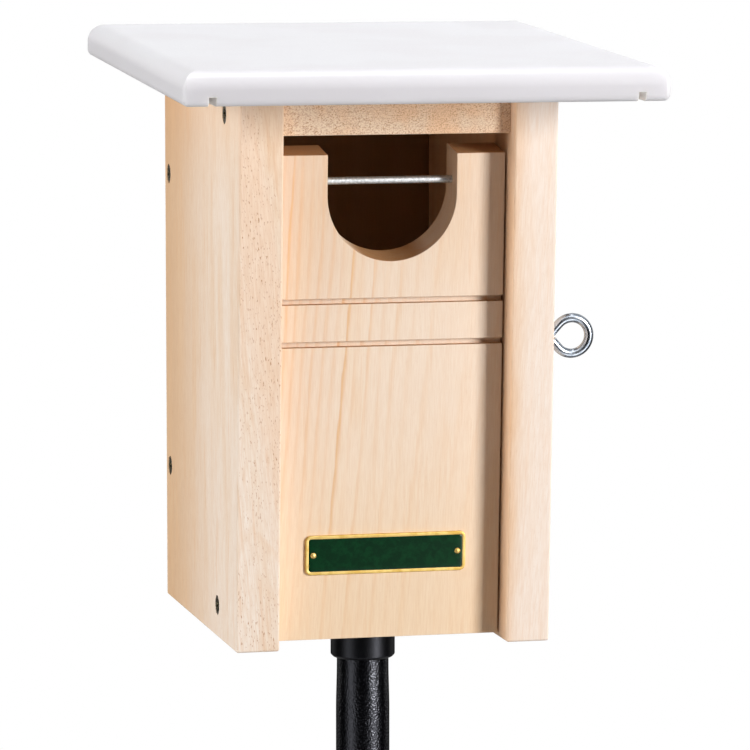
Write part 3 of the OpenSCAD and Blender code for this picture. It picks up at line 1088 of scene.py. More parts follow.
class Recipe:
    """A geometry-nodes tree with named inputs, which ends in Realize Instances and Set Material."""

    def __init__(self, name: str, sizes: Mapping[str, float | int]) -> None:
        """Starts the tree.

        Args:
            name: The tree's name.
            sizes: Its named inputs and their defaults, in metres or as counts.
        """
        self.tree = bpy.data.node_groups.new(name, "GeometryNodeTree")
        face = self.tree.interface
        face.new_socket("Geometry", in_out="INPUT", socket_type="NodeSocketGeometry")
        for label, value in sizes.items():
            kind = "NodeSocketInt" if isinstance(value, int) else "NodeSocketFloat"
            face.new_socket(label, in_out="INPUT", socket_type=kind).default_value = value
        face.new_socket("Material", in_out="INPUT", socket_type="NodeSocketMaterial")
        face.new_socket("Geometry", in_out="OUTPUT", socket_type="NodeSocketGeometry")
        outputs = self.tree.nodes.new("NodeGroupInput").outputs
        self.given = {socket.name: Term(socket) for socket in outputs if socket.name}

    def make(
        self, kind: str, inputs: Mapping[str | int, Any] | None = None, **settings: Any
    ) -> Term:
        """Adds one geometry node and takes its first output."""
        return make(self.tree, kind, inputs, **settings)

    def lowered(self, part: Term, depth: Term) -> Term:
        """Moves a part down.

        Args:
            part: The geometry.
            depth: How far it moves, in metres.

        Returns:
            The moved geometry.
        """
        shift = self.make("ShaderNodeCombineXYZ", {"Z": depth * -1.0})
        return self.make("GeometryNodeTransform", {"Geometry": part, "Translation": shift})

    def finish(self, geometry: Term) -> None:
        """Ends the tree with real geometry and the material.

        Args:
            geometry: What the tree has made.
        """
        real = self.make("GeometryNodeRealizeInstances", {"Geometry": geometry})
        sockets = {"Geometry": real, "Material": self.given["Material"]}
        add_node(self.tree, "NodeGroupOutput", {0: self.make("GeometryNodeSetMaterial", sockets)})

    def run(self, obj: bpy.types.Object, material: bpy.types.Material, **sizes: float) -> None:
        """Runs the tree on an object and keeps the result as its mesh.

        Args:
            obj: The object that gives the points or the path.
            material: The finish of the result.
            **sizes: Values of the named inputs.
        """
        modifier = obj.modifiers.new(self.tree.name, "NODES")
        modifier.node_group = self.tree
        values = {**sizes, "Material": material}
        for item in self.tree.interface.items_tree:
            if item.in_out == "INPUT" and item.name in values:
                modifier[item.identifier] = values[item.name]
        settle(obj)


def screw_head(r: Recipe, core_r: Term) -> tuple[Term, Term]:
    """A countersunk head with its cross recess.

    Args:
        r: The screws' recipe.
        core_r: The radius under the head.

    Returns:
        The head, whose top lies at 0, and its height.
    """
    wide = r.given["Head"]
    head_h = wide * 0.5 - r.given["Shank"] * 0.5
    sockets = {"Vertices": 36, "Radius Top": wide * 0.5, "Radius Bottom": core_r, "Depth": head_h}
    cone = r.lowered(r.make("GeometryNodeMeshCone", sockets), head_h)
    wing = {"X": wide * 0.52, "Y": wide * 0.12, "Z": head_h * 1.1}
    blade = r.make("GeometryNodeMeshCube", {"Size": r.make("ShaderNodeCombineXYZ", wing)})
    quarter = {"Geometry": blade, "Rotation": (0.0, 0.0, math.pi / 2)}
    crossed = r.make("GeometryNodeTransform", quarter)
    sockets = {
        "Vertices": 12,
        "Radius Top": wide * 0.15,
        "Radius Bottom": 0.0001,
        "Depth": head_h * 0.9,
    }
    pit = r.lowered(r.make("GeometryNodeMeshCone", sockets), head_h * 0.85)
    sockets = {"Mesh 1": cone, "Mesh 2": [blade, crossed, pit], "Self Intersection": True}
    head = r.make("GeometryNodeMeshBoolean", sockets, operation="DIFFERENCE", solver="EXACT")
    return head, head_h


def screw_recipe() -> Recipe:
    """Countersunk cross-recess wood screws, one at each point, along its axis attribute.

    Returns:
        The recipe, for a mesh of points.
    """
    r = Recipe(
        "countersunk_screws",
        {"Head": 0.0086, "Shank": 0.0038, "Length": 0.041, "Pitch": 0.0018, "Seed": 3},
    )
    length, shank_r = r.given["Length"], r.given["Shank"] * 0.5
    core_r = shank_r * 0.72
    head, head_h = screw_head(r, core_r)

    tip_h = r.given["Shank"] * 1.5
    sockets = {"Vertices": 20, "Radius Top": core_r, "Radius Bottom": 0.00005, "Depth": tip_h}
    tip = r.lowered(r.make("GeometryNodeMeshCone", sockets), length)
    body_h = length - head_h - tip_h
    sockets = {"Vertices": 20, "Radius": core_r, "Depth": body_h}
    body = r.lowered(r.make("GeometryNodeMeshCylinder", sockets), body_h * 0.5 + head_h)

    thread_h, helix_r = body_h * 0.66, shank_r * 0.8
    sockets = {
        "Resolution": 16,
        "Rotations": thread_h / r.given["Pitch"],
        "Start Radius": helix_r,
        "End Radius": helix_r,
        "Height": thread_h,
    }
    helix = r.make("GeometryNodeCurveSpiral", sockets)
    ridge = r.make("GeometryNodeCurvePrimitiveCircle", {"Resolution": 4, "Radius": shank_r * 0.2})
    sockets = {"Curve": helix, "Profile Curve": ridge, "Fill Caps": True}
    thread = r.lowered(r.make("GeometryNodeCurveToMesh", sockets), length - tip_h)
    whole = r.make("GeometryNodeJoinGeometry", {0: [head, body, tip, thread]})

    axis = r.make("GeometryNodeInputNamedAttribute", {"Name": "axis"}, data_type="FLOAT_VECTOR")
    faced = r.make("FunctionNodeAlignRotationToVector", {"Vector": axis}, axis="Z")
    chance = {"Min": 0.0, "Max": math.pi / 2, "Seed": r.given["Seed"]}
    angle = make(r.tree, "FunctionNodeRandomValue", chance, "Value", data_type="FLOAT")
    spin = r.make("FunctionNodeAxisAngleToRotation", {"Axis": (0.0, 0.0, 1.0), "Angle": angle})
    sockets = {"Rotation": faced, "Rotate By": spin}
    turned = r.make("FunctionNodeRotateRotation", sockets, rotation_space="LOCAL")
    points = r.make("GeometryNodeMeshToPoints", {"Mesh": r.given["Geometry"]})
    sockets = {"Points": points, "Instance": whole, "Rotation": turned}
    r.finish(r.make("GeometryNodeInstanceOnPoints", sockets))
    return r


def wire_recipe() -> Recipe:
    """Round wire along a drawn path, with closed ends.

    Returns:
        The recipe, for a mesh of edges.
    """
    r = Recipe("wire_along_path", {"Diameter": 0.0041, "Flats": 24})
    path = r.make("GeometryNodeMeshToCurve", {"Mesh": r.given["Geometry"]})
    sockets = {"Resolution": r.given["Flats"], "Radius": r.given["Diameter"] * 0.5}
    section = r.make("GeometryNodeCurvePrimitiveCircle", sockets)
    sockets = {"Curve": path, "Profile Curve": section, "Fill Caps": True}
    r.finish(r.make("GeometryNodeCurveToMesh", sockets))
    return r


def groove_recipe() -> Recipe:
    """Equal grooves across a door, cut below one another from the top one down.

    Returns:
        The recipe, for the door's mesh in its own frame in mm.
    """
    r = Recipe(
        "grooves_across",
        {"Count": 2, "Pitch": 18.7, "Height": 2.5, "Depth": 6.0, "Width": 120.0, "Top": 149.0},
    )
    size = {"X": r.given["Width"], "Y": r.given["Depth"], "Z": r.given["Height"]}
    cutter = r.make("GeometryNodeMeshCube", {"Size": r.make("ShaderNodeCombineXYZ", size)})
    start = r.make("ShaderNodeCombineXYZ", {"Z": r.given["Top"]})
    step = r.make("ShaderNodeCombineXYZ", {"Z": r.given["Pitch"] * -1.0})
    sockets = {"Count": r.given["Count"], "Start Location": start, "Offset": step}
    line = r.make("GeometryNodeMeshLine", sockets)
    row = r.make("GeometryNodeInstanceOnPoints", {"Points": line, "Instance": cutter})
    row = r.make("GeometryNodeRealizeInstances", {"Geometry": row})
    sockets = {"Mesh 1": r.given["Geometry"], "Mesh 2": row}
    r.finish(r.make("GeometryNodeMeshBoolean", sockets, operation="DIFFERENCE", solver="EXACT"))
    return r


# ---------------------------------------------------------------- sub-assemblies


@dataclass
class SubAssembly(ABC):
    """A group of pieces that is built and dressed together."""

    @abstractmethod
    def build(self) -> None:
        """Makes the meshes, dresses them and sets them on their bodies."""

    @staticmethod
    def seat(
        obj: bpy.types.Object, body: Body, slot: str, *nodes: str, finish: Finish | None = None
    ) -> None:
        """Gives a piece its finish and body, and hides the CAD nodes that it stands for.

        Args:
            obj: The piece, at the origin.
            body: The body that it rides on.
            slot: The record's material slot; it is not used.
            *nodes: The CAD nodes that it replaces.
            finish: Its finish, where it has none yet.
        """
        if finish:
            obj.data.materials.clear()
            obj.data.materials.append(finish.material())
        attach(obj, body.value)
        if nodes:
            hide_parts(*nodes)
        faces = len(obj.data.polygons)
        LOG.info("%s: %d faces on %s for %s", obj.name, faces, body.value, ", ".join(nodes) or "-")


@dataclass(frozen=True)
class ScrewKind:
    """One size of countersunk screw, in mm.

    Attributes:
        head: The head's diameter.
        shank: The thread's outer diameter.
        length: The whole length.
        pitch: The thread's pitch.
    """

    head: float
    shank: float
    length: float
    pitch: float = 1.8


SIDE_SCREW = ScrewKind(8.6, 3.8, 41.0)
ROOF_SCREW = ScrewKind(7.0, 3.4, 31.0)
FLANGE_SCREW = ScrewKind(7.0, 3.4, 15.0, 1.4)


def roof_under(y: float) -> float:
    """The height of the roof's underside over the house frame's Y."""
    return WALL_FRONT_H + (y - FRONT_Y) * math.tan(PITCH)


def ceiling_mid(y: float) -> float:
    """The height of the ceiling board's middle over the house frame's Y."""
    return roof_under(y) - BOARD / 2 / math.cos(PITCH)


@dataclass
class Screws(SubAssembly):
    """Every screw of the box, by the CAD node that it stands for.

    Attributes:
        ceiling_front: Front ceiling screws' distance from the walls' lower front corner.
        ceiling_back: Back ceiling screws' distance from the back panel.
        ceiling_low: How far these screws lie below the ceiling board's middle.
        floor_back: The floor screws' distance from that corner.
        back_heights: Heights of the screws into the back panel.
        rear_gap: Distance between the two screws of a rear pair.
        roof_gap: Distances between the roof screws across and along.
        flange_circle: The radius of the flange screws' circle.
        sunk: How far a head lies below the wood.
        hole_gap: How much wider than its screw a hole is, on each side.
        sink_gap: How far a countersink's rim lies below the wood.
        places: Each node's screws: the middle of the head and the way that it faces.
    """

    ceiling_front: float = 22.0
    ceiling_back: float = 24.0
    ceiling_low: float = 2.5
    floor_back: float = 42.0
    back_heights: Pair = (61.7, 196.9)
    rear_gap: float = 40.0
    roof_gap: Pair = (60.0, 66.0)
    flange_circle: float = (FLANGE_D + COLLAR_D) / 4
    sunk: float = 0.15
    hole_gap: float = 0.1
    sink_gap: float = 0.12
    places: dict[str, list[tuple[Vector, Vector]]] = field(default_factory=dict)

    def __post_init__(self) -> None:
        """Works out each screw's place and the direction that its head faces."""
        floor_z = FLOOR_UP + BOARD / 2
        ceiling_y = (self.ceiling_front, BACK_Y - self.ceiling_back)
        rows = {
            "ceiling_screws": [(y, ceiling_mid(y) - self.ceiling_low) for y in ceiling_y],
            "back_screws": [(BACK_Y + BOARD / 2, z) for z in self.back_heights],
            "floor_screw": [(self.floor_back, floor_z)],
        }
        for side, sx in (("left", -1), ("right", 1)):
            for name, row in rows.items():
                spots = [(sx * HOUSE_W / 2, y, z) for y, z in row]
                self.places[f"{side}_{name}"] = self.spots(HOUSE, spots, (sx, 0, 0))
        rear = {"rear_ceiling_screws": ceiling_mid(WALL_DEPTH), "rear_floor_screws": floor_z}
        for name, z in rear.items():
            spots = [(s * self.rear_gap / 2, WALL_DEPTH, z) for s in (-1, 1)]
            self.places[name] = self.spots(HOUSE, spots, (0, 1, 0))
        middle = (BACK_Y - FRONT_Y + HEADER_IN) / 2
        wide, long = (gap / 2 for gap in self.roof_gap)
        spots = [(sx * wide, middle + sy * long, -BOARD) for sx in (-1, 1) for sy in (-1, 1)]
        self.places["roof_screws"] = self.spots(ROOF, spots, (0, 0, -1))
        r = self.flange_circle
        turns = [math.radians(a) for a in (90, 210, 330)]
        low = FLOOR_UP - FLANGE_T
        spots = [(r * math.cos(a), POLE_BACK + r * math.sin(a), low) for a in turns]
        self.places["flange_screws"] = self.spots(HOUSE, spots, (0, 0, -1))

    @staticmethod
    def spots(
        place: Matrix, points: Sequence[Triple], outward: Triple
    ) -> list[tuple[Vector, Vector]]:
        """Takes a node's screws to the shared frame.

        Args:
            place: The matrix from the points' frame to the shared one.
            points: The middles of the heads.
            outward: The way that the heads face.

        Returns:
            Each screw's place and outward direction.
        """
        way = (place.to_3x3() @ Vector(outward)).normalized()
        return [(place @ Vector(point), way) for point in points]

    @staticmethod
    def kind(name: str) -> ScrewKind:
        """The screw size that a node has."""
        return {"roof_screws": ROOF_SCREW, "flange_screws": FLANGE_SCREW}.get(name, SIDE_SCREW)

    def sinks(self, *names: str) -> bpy.types.Object:
        """Makes one cutter for the countersinks and pilot holes of some nodes' screws.

        Args:
            *names: The nodes.

        Returns:
            The cutter.
        """
        rise = 1.5
        bm = bmesh.new()
        for name in names:
            kind = self.kind(name)
            outer, inner = kind.head / 2 + self.hole_gap, kind.shank / 2 + self.hole_gap
            profile = [
                (0, rise),
                (outer, rise),
                (outer, -self.sink_gap),
                (inner, -self.sink_gap - (outer - inner)),
                (inner, -kind.length),
                (0, -kind.length - 1),
            ]
            for point, outward in self.places[name]:
                turn = outward.to_track_quat("Z", "Y").to_matrix().to_4x4()
                place = Matrix.Translation(point) @ turn @ Matrix.Scale(MM, 4)
                lathe(profile, 40, bm=bm, place=place)
        bmesh.ops.recalc_face_normals(bm, faces=bm.faces)
        mesh = bpy.data.meshes.new("sinks")
        bm.to_mesh(mesh)
        bm.free()
        return add_object("sinks", mesh)

    def build(self) -> None:
        """Makes one piece of screws for each node."""
        recipe = screw_recipe()
        finishes = {
            "roof_screws": (BRIGHT_ZINC, "bright_zinc"),
            "flange_screws": (COLLAR_COAT, "flange_coat"),
        }
        for seed, (name, spots) in enumerate(self.places.items()):
            kind = self.kind(name)
            mesh = bpy.data.meshes.new(name)
            mesh.from_pydata([p - n * self.sunk * MM for p, n in spots], [], [])
            axis = mesh.attributes.new("axis", "FLOAT_VECTOR", "POINT")
            for i, (_, outward) in enumerate(spots):
                axis.data[i].vector = outward
            obj = add_object(f"{name}_driven", mesh)
            finish, slot = finishes.get(name, (SCREW_ZINC, "screw_zinc"))
            recipe.run(
                obj,
                finish.material(),
                Head=kind.head * MM,
                Shank=kind.shank * MM,
                Length=(kind.length - self.sunk) * MM,
                Pitch=kind.pitch * MM,
                Seed=seed,
            )
            self.seat(smooth(obj, 35), Body.HOUSE, slot, name)


@dataclass
class NestBox(SubAssembly):
    """The pine boards of the box: two walls, a back panel, a ceiling and a floor.

    Attributes:
        screws: The screws, whose holes the boards take.
        arris: The easing of the walls' corners; the back panel's is half as wide.
        ceiling_arris: The easing of the ceiling's corners.
        floor_arris: The easing of the floor's corners.
        drain_cut: The floor's cut-off corners.
        floor_front: Where the floor's front edge lies.
        eye_hole: The hole for the eye pin: its diameter and its place in Y and Z.
    """

    screws: Screws
    arris: float = 0.95
    ceiling_arris: float = 0.35
    floor_arris: float = 0.4
    drain_cut: float = 9.0
    floor_front: float = 33.41
    eye_hole: Triple = (4.26, 15.977, 132.523)

    def build(self) -> None:
        """Makes the five boards."""
        self.wall("left", -1, LEFT_WALL_PINE)
        self.wall("right", 1, RIGHT_WALL_PINE)
        self.back_panel()
        self.ceiling()
        self.floor()

    def board(self, name: str, shape: bmesh.types.BMesh, *holes: str) -> bpy.types.Object:
        """Makes a board and drills its screw holes.

        Args:
            name: The piece's name.
            shape: Its mesh in the house frame.
            *holes: The nodes whose screws go into it.

        Returns:
            The board.
        """
        board = mesh_object(name, shape, HOUSE)
        carve(board, self.screws.sinks(*holes))
        return board

    def wall(self, side: str, sx: int, pine: PlanedPine) -> None:
        """Makes one side wall, whose front edge leans forward and whose top follows the roof.

        Args:
            side: Its side, as its node is named.
            sx: That side's sign along X.
            pine: Its finish.
        """
        outline = [
            (0, 0),
            (WALL_DEPTH, 0),
            (WALL_DEPTH, roof_under(WALL_DEPTH)),
            (FRONT_Y, WALL_FRONT_H),
        ]
        inner, outer = sorted((sx * NEST_W / 2, sx * HOUSE_W / 2))
        shape = prism(outline, inner, outer, Plane.FACING_SIDE, self.arris)
        holes = (f"{side}_{name}" for name in ("ceiling_screws", "back_screws", "floor_screw"))
        wall = self.board(f"{side}_wall_board", shape, *holes)
        if side == "right":
            self.drill_eye_hole(wall)
        self.seat(smooth(wall), Body.HOUSE, "pine_board", f"{side}_side_wall", finish=pine)

    def drill_eye_hole(self, wall: bpy.types.Object) -> None:
        """Drills the eye pin's hole through the right wall.

        Args:
            wall: The right wall.
        """
        bore, y, z = self.eye_hole
        inside, outside = 40, 80
        turn = Matrix.Translation((0, y, z)) @ Matrix.Rotation(math.pi / 2, 4, "Y")
        profile = [(0, inside), (bore / 2, inside), (bore / 2, outside), (0, outside)]
        carve(wall, mesh_object("eye_hole", lathe(profile, 40, place=turn), HOUSE))

    def back_panel(self) -> None:
        """Makes the back panel between the walls."""
        outline = [
            (BACK_Y, 0),
            (WALL_DEPTH, 0),
            (WALL_DEPTH, roof_under(WALL_DEPTH)),
            (BACK_Y, roof_under(BACK_Y)),
        ]
        shape = prism(outline, -NEST_W / 2, NEST_W / 2, Plane.FACING_SIDE, self.arris / 2)
        board = self.board("back_board", shape, "rear_ceiling_screws", "rear_floor_screws")
        self.seat(smooth(board), Body.HOUSE, "pine_board", "back_panel", finish=BACK_PINE)

    def ceiling(self) -> None:
        """Makes the ceiling board, whose front end shows above the door."""
        slope = math.tan(PITCH)
        to_house = HOUSE.inverted() @ ROOF
        top, low = (to_house @ Vector((0, HEADER_IN, z)) for z in (0, -BOARD))
        outline = [
            (low.y, low.z),
            (BACK_Y, low.z + (BACK_Y - low.y) * slope),
            (BACK_Y, top.z + (BACK_Y - top.y) * slope),
            (top.y, top.z),
        ]
        shape = prism(outline, -NEST_W / 2, NEST_W / 2, Plane.FACING_SIDE, self.ceiling_arris)
        board = self.board("ceiling_header_board", shape, "roof_screws")
        slot, node = "ceiling_end_grain", "ceiling_board"
        self.seat(smooth(board), Body.HOUSE, slot, node, finish=CEILING_PINE)

    def floor(self) -> None:
        """Makes the floor board with its cut-off drain corners."""
        x, c, front, back = NEST_W / 2, self.drain_cut, self.floor_front, BACK_Y
        outline = [(-x, front + c), (c - x, front), (x - c, front), (x, front + c)]
        outline += [(x, back - c), (x - c, back), (c - x, back), (-x, back - c)]
        shape = prism(outline, FLOOR_UP, FLOOR_UP + BOARD, Plane.FACING_UP, self.floor_arris)
        board = self.board("floor_drain_board", shape, "flange_screws")
        self.seat(smooth(board), Body.HOUSE, "pine_board", "floor_board", finish=FLOOR_PINE)


@dataclass
class MouldedRoof(SubAssembly):
    """The white roof slab: round upper edges, eased lower ones and two drip grooves.

    Attributes:
        thick: The slab's thickness.
        side_over: How far it reaches past the walls.
        front_over: How far it reaches past their top front corner.
        back_over: How far it reaches past their back.
        top_r: The radius of the upper edges.
        low_r: The radius of the lower edges.
        corner_r: The radius of the upright corners.
        groove: Width, depth and distance from the side of a drip groove.
    """

    thick: float = 14.8
    side_over: float = 34.65
    front_over: float = 51.65
    back_over: float = 7.9
    top_r: float = 8.0
    low_r: float = 3.0
    corner_r: float = 2.2
    groove: Triple = (3.2, 4.0, 11.0)

    def build(self) -> None:
        """Makes the slab and cuts its grooves."""
        reach = (WALL_DEPTH + self.back_over - FRONT_Y) / math.cos(PITCH)
        half = (HOUSE_W / 2 + self.side_over, (reach + self.front_over) / 2)
        levels = arc(self.low_r, 270, 180, 5, (self.low_r, self.low_r))
        levels += arc(self.top_r, 180, 90, 12, (self.top_r, self.thick - self.top_r))
        slab = ring_stack(half, (0, (reach - self.front_over) / 2), self.corner_r, levels, 6)
        roof = mesh_object("roof_slab", slab, ROOF)
        carve(roof, self.groove_cutter(half[0], reach))
        self.seat(smooth(roof, 50), Body.HOUSE, "roof_plastic", "roof_panel", finish=POLYETHYLENE)

    def groove_cutter(self, half_w: float, reach: float) -> bpy.types.Object:
        """Makes one cutter for both grooves.

        Args:
            half_w: Half the slab's width.
            reach: How far the slab reaches back from the walls' top front corner.

        Returns:
            The cutter.
        """
        wide, deep, inset = self.groove
        below, past = 2, 5
        cuts = bmesh.new()
        for s in (-1, 1):
            middle = s * (half_w - inset - wide / 2)
            left, right = middle - wide / 2, middle + wide / 2
            corners = [(left, -below), (right, -below), (right, deep), (left, deep)]
            part = prism(corners, -reach - past, self.front_over + past, Plane.FACING_FRONT)
            piece = bpy.data.meshes.new("groove")
            part.to_mesh(piece)
            part.free()
            cuts.from_mesh(piece)
            bpy.data.meshes.remove(piece)
        return mesh_object("grooves", cuts, ROOF)


@dataclass
class FrontDoor(SubAssembly):
    """The hinged door with its U entrance, grooves, rod and plain name plate.

    Attributes:
        corner: The Y and Z of its lower front edge in the house frame.
        width: The door's width.
        high: Its height along its lean.
        slope: The fall of its top and of the entrance's sill towards the front.
        arris: The easing of its corners.
        entrance: The width of the entrance and the height of its lowest point.
        groove: The grooves' height, depth, upper middle and pitch.
        rod: The rod's diameter, half length and height.
        rod_ease: The bevel of the rod's ends.
        plate: The plate's width, height and thickness.
        plate_at: Its middle, across and up the door.
        plate_corner: The radius of its corners.
        rim: The width of its raised rim.
        enamel: The enamel's thickness.
        pin_in: The plate pins' distance from the plate's ends.
        pin: A pin's head diameter, shank diameter and length.
    """

    corner: Pair = (13.3828, 2.2)
    width: float = 100.0
    high: float = 212.48
    slope: float = math.radians(6.5)
    arris: float = 0.25
    entrance: Pair = (57.15, 166.18)
    groove: tuple[float, float, float, float] = (2.5, 3.0, 148.88, 18.7)
    rod: Triple = (3.2, 49.0, 200.18)
    rod_ease: float = 0.3
    plate: Triple = (71.7, 17.5, 1.2)
    plate_at: Pair = (-1.2, 37.6)
    plate_corner: float = 2.6
    rim: float = 1.5
    enamel: float = 0.5
    pin_in: float = 3.6
    pin: Triple = (2.6, 1.3, 9.0)

    @property
    def place(self) -> Matrix:
        """The matrix from the door's frame, at its lower front edge, to the shared one."""
        return HOUSE @ Matrix.Translation((0, *self.corner)) @ Matrix.Rotation(LEAN, 4, "X")

    @property
    def plate_turn(self) -> Matrix:
        """The frame of the plate: X across, Y up the door, Z out of its front face."""
        x, z = self.plate_at
        return self.place @ Matrix.Translation((x, 0, z)) @ Matrix.Rotation(math.pi / 2, 4, "X")

    def build(self) -> None:
        """Makes the door and what it carries."""
        self.door()
        self.entrance_rod()
        self.name_plate()
        self.plate_pins()

    def door(self) -> None:
        """Makes the board: a round lower back edge, the U cut and the grooves."""
        mid = BOARD / 2
        heel = arc(mid, -90, 0, 10, (mid, mid))
        rear_top = self.high + BOARD * math.tan(self.slope)
        outline = [(0, 0), *heel, (BOARD, rear_top), (0, self.high)]
        shape = prism(outline, -self.width / 2, self.width / 2, Plane.FACING_SIDE)
        door = mesh_object("door_board", shape, Matrix())
        carve(door, self.mouth())
        tall, deep, top, pitch = self.groove
        past = 10
        groove_recipe().run(
            door,
            DOOR_PINE.material(),
            Count=2,
            Pitch=pitch,
            Height=tall,
            Depth=2 * deep,
            Width=self.width + 2 * past,
            Top=top,
        )
        ease = door.modifiers.new("eased_corners", "BEVEL")
        ease.width, ease.segments = self.arris, 3
        ease.limit_method, ease.angle_limit = "ANGLE", math.radians(40)
        ease.miter_outer = "MITER_ARC"
        settle(door)
        door.data.transform(self.place)
        self.seat(smooth(door), Body.DOOR, "pine_board", "front_door", finish=DOOR_PINE)

    def mouth(self) -> bpy.types.Object:
        """Makes the cutter of the entrance: a half circle, open at the top.

        Returns:
            The cutter in the door's frame.
        """
        r, low = self.entrance[0] / 2, self.entrance[1]
        outline = [*arc(r, 180, 360, 48), (r, 2 * r), (-r, 2 * r)]
        shape = prism(outline, -BOARD - 2 * r, 2 * r, Plane.FACING_FRONT)
        place = Matrix.Translation((0, 0, low + r)) @ Matrix.Rotation(self.slope, 4, "X")
        return mesh_object("mouth", shape, place)

    def entrance_rod(self) -> None:
        """Makes the galvanised rod across the entrance."""
        d, half, height = self.rod
        e = self.rod_ease
        spot = Matrix.Translation((0, BOARD / 2, height))
        place = self.place @ spot @ Matrix.Rotation(math.pi / 2, 4, "Y")
        one_end = [(0, half), (d / 2 - e, half), (d / 2, half - e)]
        profile = [(r, -z) for r, z in one_end] + one_end[::-1]
        rod = mesh_object("entrance_wire_rod", lathe(profile, 32), place)
        self.seat(smooth(rod), Body.DOOR, "rod_galvanised", "entrance_rod", finish=GALVANISED)

    def name_plate(self) -> None:
        """Makes the plain plate: a brass tray with a raised rim, filled with enamel."""
        w, h, t = self.plate
        half, rim = (w / 2, h / 2), self.rim
        bed = t - self.enamel
        outer_r, inner_r, gap = 0.35, 0.25, 0.04
        levels = [
            (0, 0),
            *arc(outer_r, 180, 90, 4, (outer_r, t - outer_r)),
            (rim - inner_r, t),
            (rim - 0.07, t - 0.07),
            (rim, t - inner_r),
            (rim, bed),
        ]
        tray = ring_stack(half, (0, 0), self.plate_corner, levels, 8)
        brass = mesh_object("plate_brass_tray", tray, self.plate_turn)
        self.seat(smooth(brass), Body.DOOR, "plate_brass", "name_plate", finish=BRASS)
        sag = [(0, 0.2), (0.12, 0.12), (0.6, 0.06), (2.5, 0.03)]
        levels = [(rim + gap, bed), *[(rim + gap + inset, t - low) for inset, low in sag]]
        filling = ring_stack(half, (0, 0), self.plate_corner, levels, 8)
        fill = mesh_object("plate_green_enamel", filling, self.plate_turn)
        self.seat(smooth(fill, 60), Body.DOOR, "plate_enamel", "name_plate_enamel", finish=ENAMEL)

    def plate_pins(self) -> None:
        """Makes the two domed brass pins that hold the plate."""
        head, shank, length = self.pin
        t, r = self.plate[2], head / 2
        point, sunk = 1, 0.05
        dome_r = head * 0.65
        low = math.sqrt(dome_r**2 - r**2)
        dome = arc(dome_r, math.degrees(math.asin(low / dome_r)), 90, 8, (0, t - low))[:-1]
        profile = [
            (0, -length),
            (shank / 2, point - length),
            (shank / 2, t - sunk),
            (r, t - sunk),
            *dome,
            (0, t - low + dome_r),
        ]
        bm = bmesh.new()
        for s in (-1, 1):
            place = Matrix.Translation((s * (self.plate[0] / 2 - self.pin_in), 0, 0))
            lathe(profile, 28, bm=bm, place=place)
        pins = mesh_object("plate_brass_pins", bm, self.plate_turn)
        self.seat(smooth(pins), Body.DOOR, "plate_brass", "name_plate_pins", finish=BRASS)


@dataclass
class EyePin(SubAssembly):
    """The bent-wire eye pin that locks the door.

    Attributes:
        door: The door, whose frame the pin lies in.
        wire: The wire's diameter.
        bore: The eye's inner diameter.
        heel_angle: How far each end of the bend passes square, in degrees.
        heel_gap: The eye's distance from the wall.
        up: Its height in the door's frame.
        tip: The pin end's X.
        relax: The length over which the heel bends into the shank.
        cut_at: Where the wire's cut end lies, as a share of the way from eye to heel.
    """

    door: FrontDoor
    wire: float = 4.1
    bore: float = 11.7
    heel_angle: float = 48.0
    heel_gap: float = 0.7
    up: float = 130.0
    tip: float = 50.3
    relax: float = 2.6
    cut_at: float = 0.62

    def path(self) -> list[Vector]:
        """Draws the wire's centre line from its cut end round the eye to the pin's tip.

        Returns:
            Its points, in the door's frame.
        """
        r = (self.bore + self.wire) / 2
        angle = math.radians(self.heel_angle)
        centre = HOUSE_W / 2 + self.heel_gap + (self.bore / 2 + self.wire) / math.sin(angle)
        end = 90 + self.heel_angle
        ring = [Vector(point) for point in arc(r, -end, end, 72)]
        heel = Vector((-r / math.sin(angle), 0))
        cut = ring[0].lerp(heel, self.cut_at)
        before = heel + (ring[-1] - heel).normalized() * self.relax
        after = heel - Vector((self.relax, 0))
        shares = [k / 8 for k in range(9)]
        bend = [before * (1 - s) ** 2 + heel * 2 * s * (1 - s) + after * s**2 for s in shares]
        shank = Vector((self.tip - centre, 0))
        return [
            Vector((centre + p.x, BOARD / 2, self.up + p.y)) for p in (cut, *ring, *bend, shank)
        ]

    def build(self) -> None:
        """Makes the wire along its path."""
        points = [self.door.place @ p for p in self.path()]
        mesh = bpy.data.meshes.new("eye_pin_wire")
        mesh.from_pydata(points, [(i, i + 1) for i in range(len(points) - 1)], [])
        pin = add_object("eye_pin_wire", mesh)
        wire_recipe().run(pin, BRIGHT_ZINC.material(), Diameter=self.wire * MM, Flats=28)
        self.seat(smooth(pin), Body.EYE_PIN, "bright_zinc", "eye_pin")


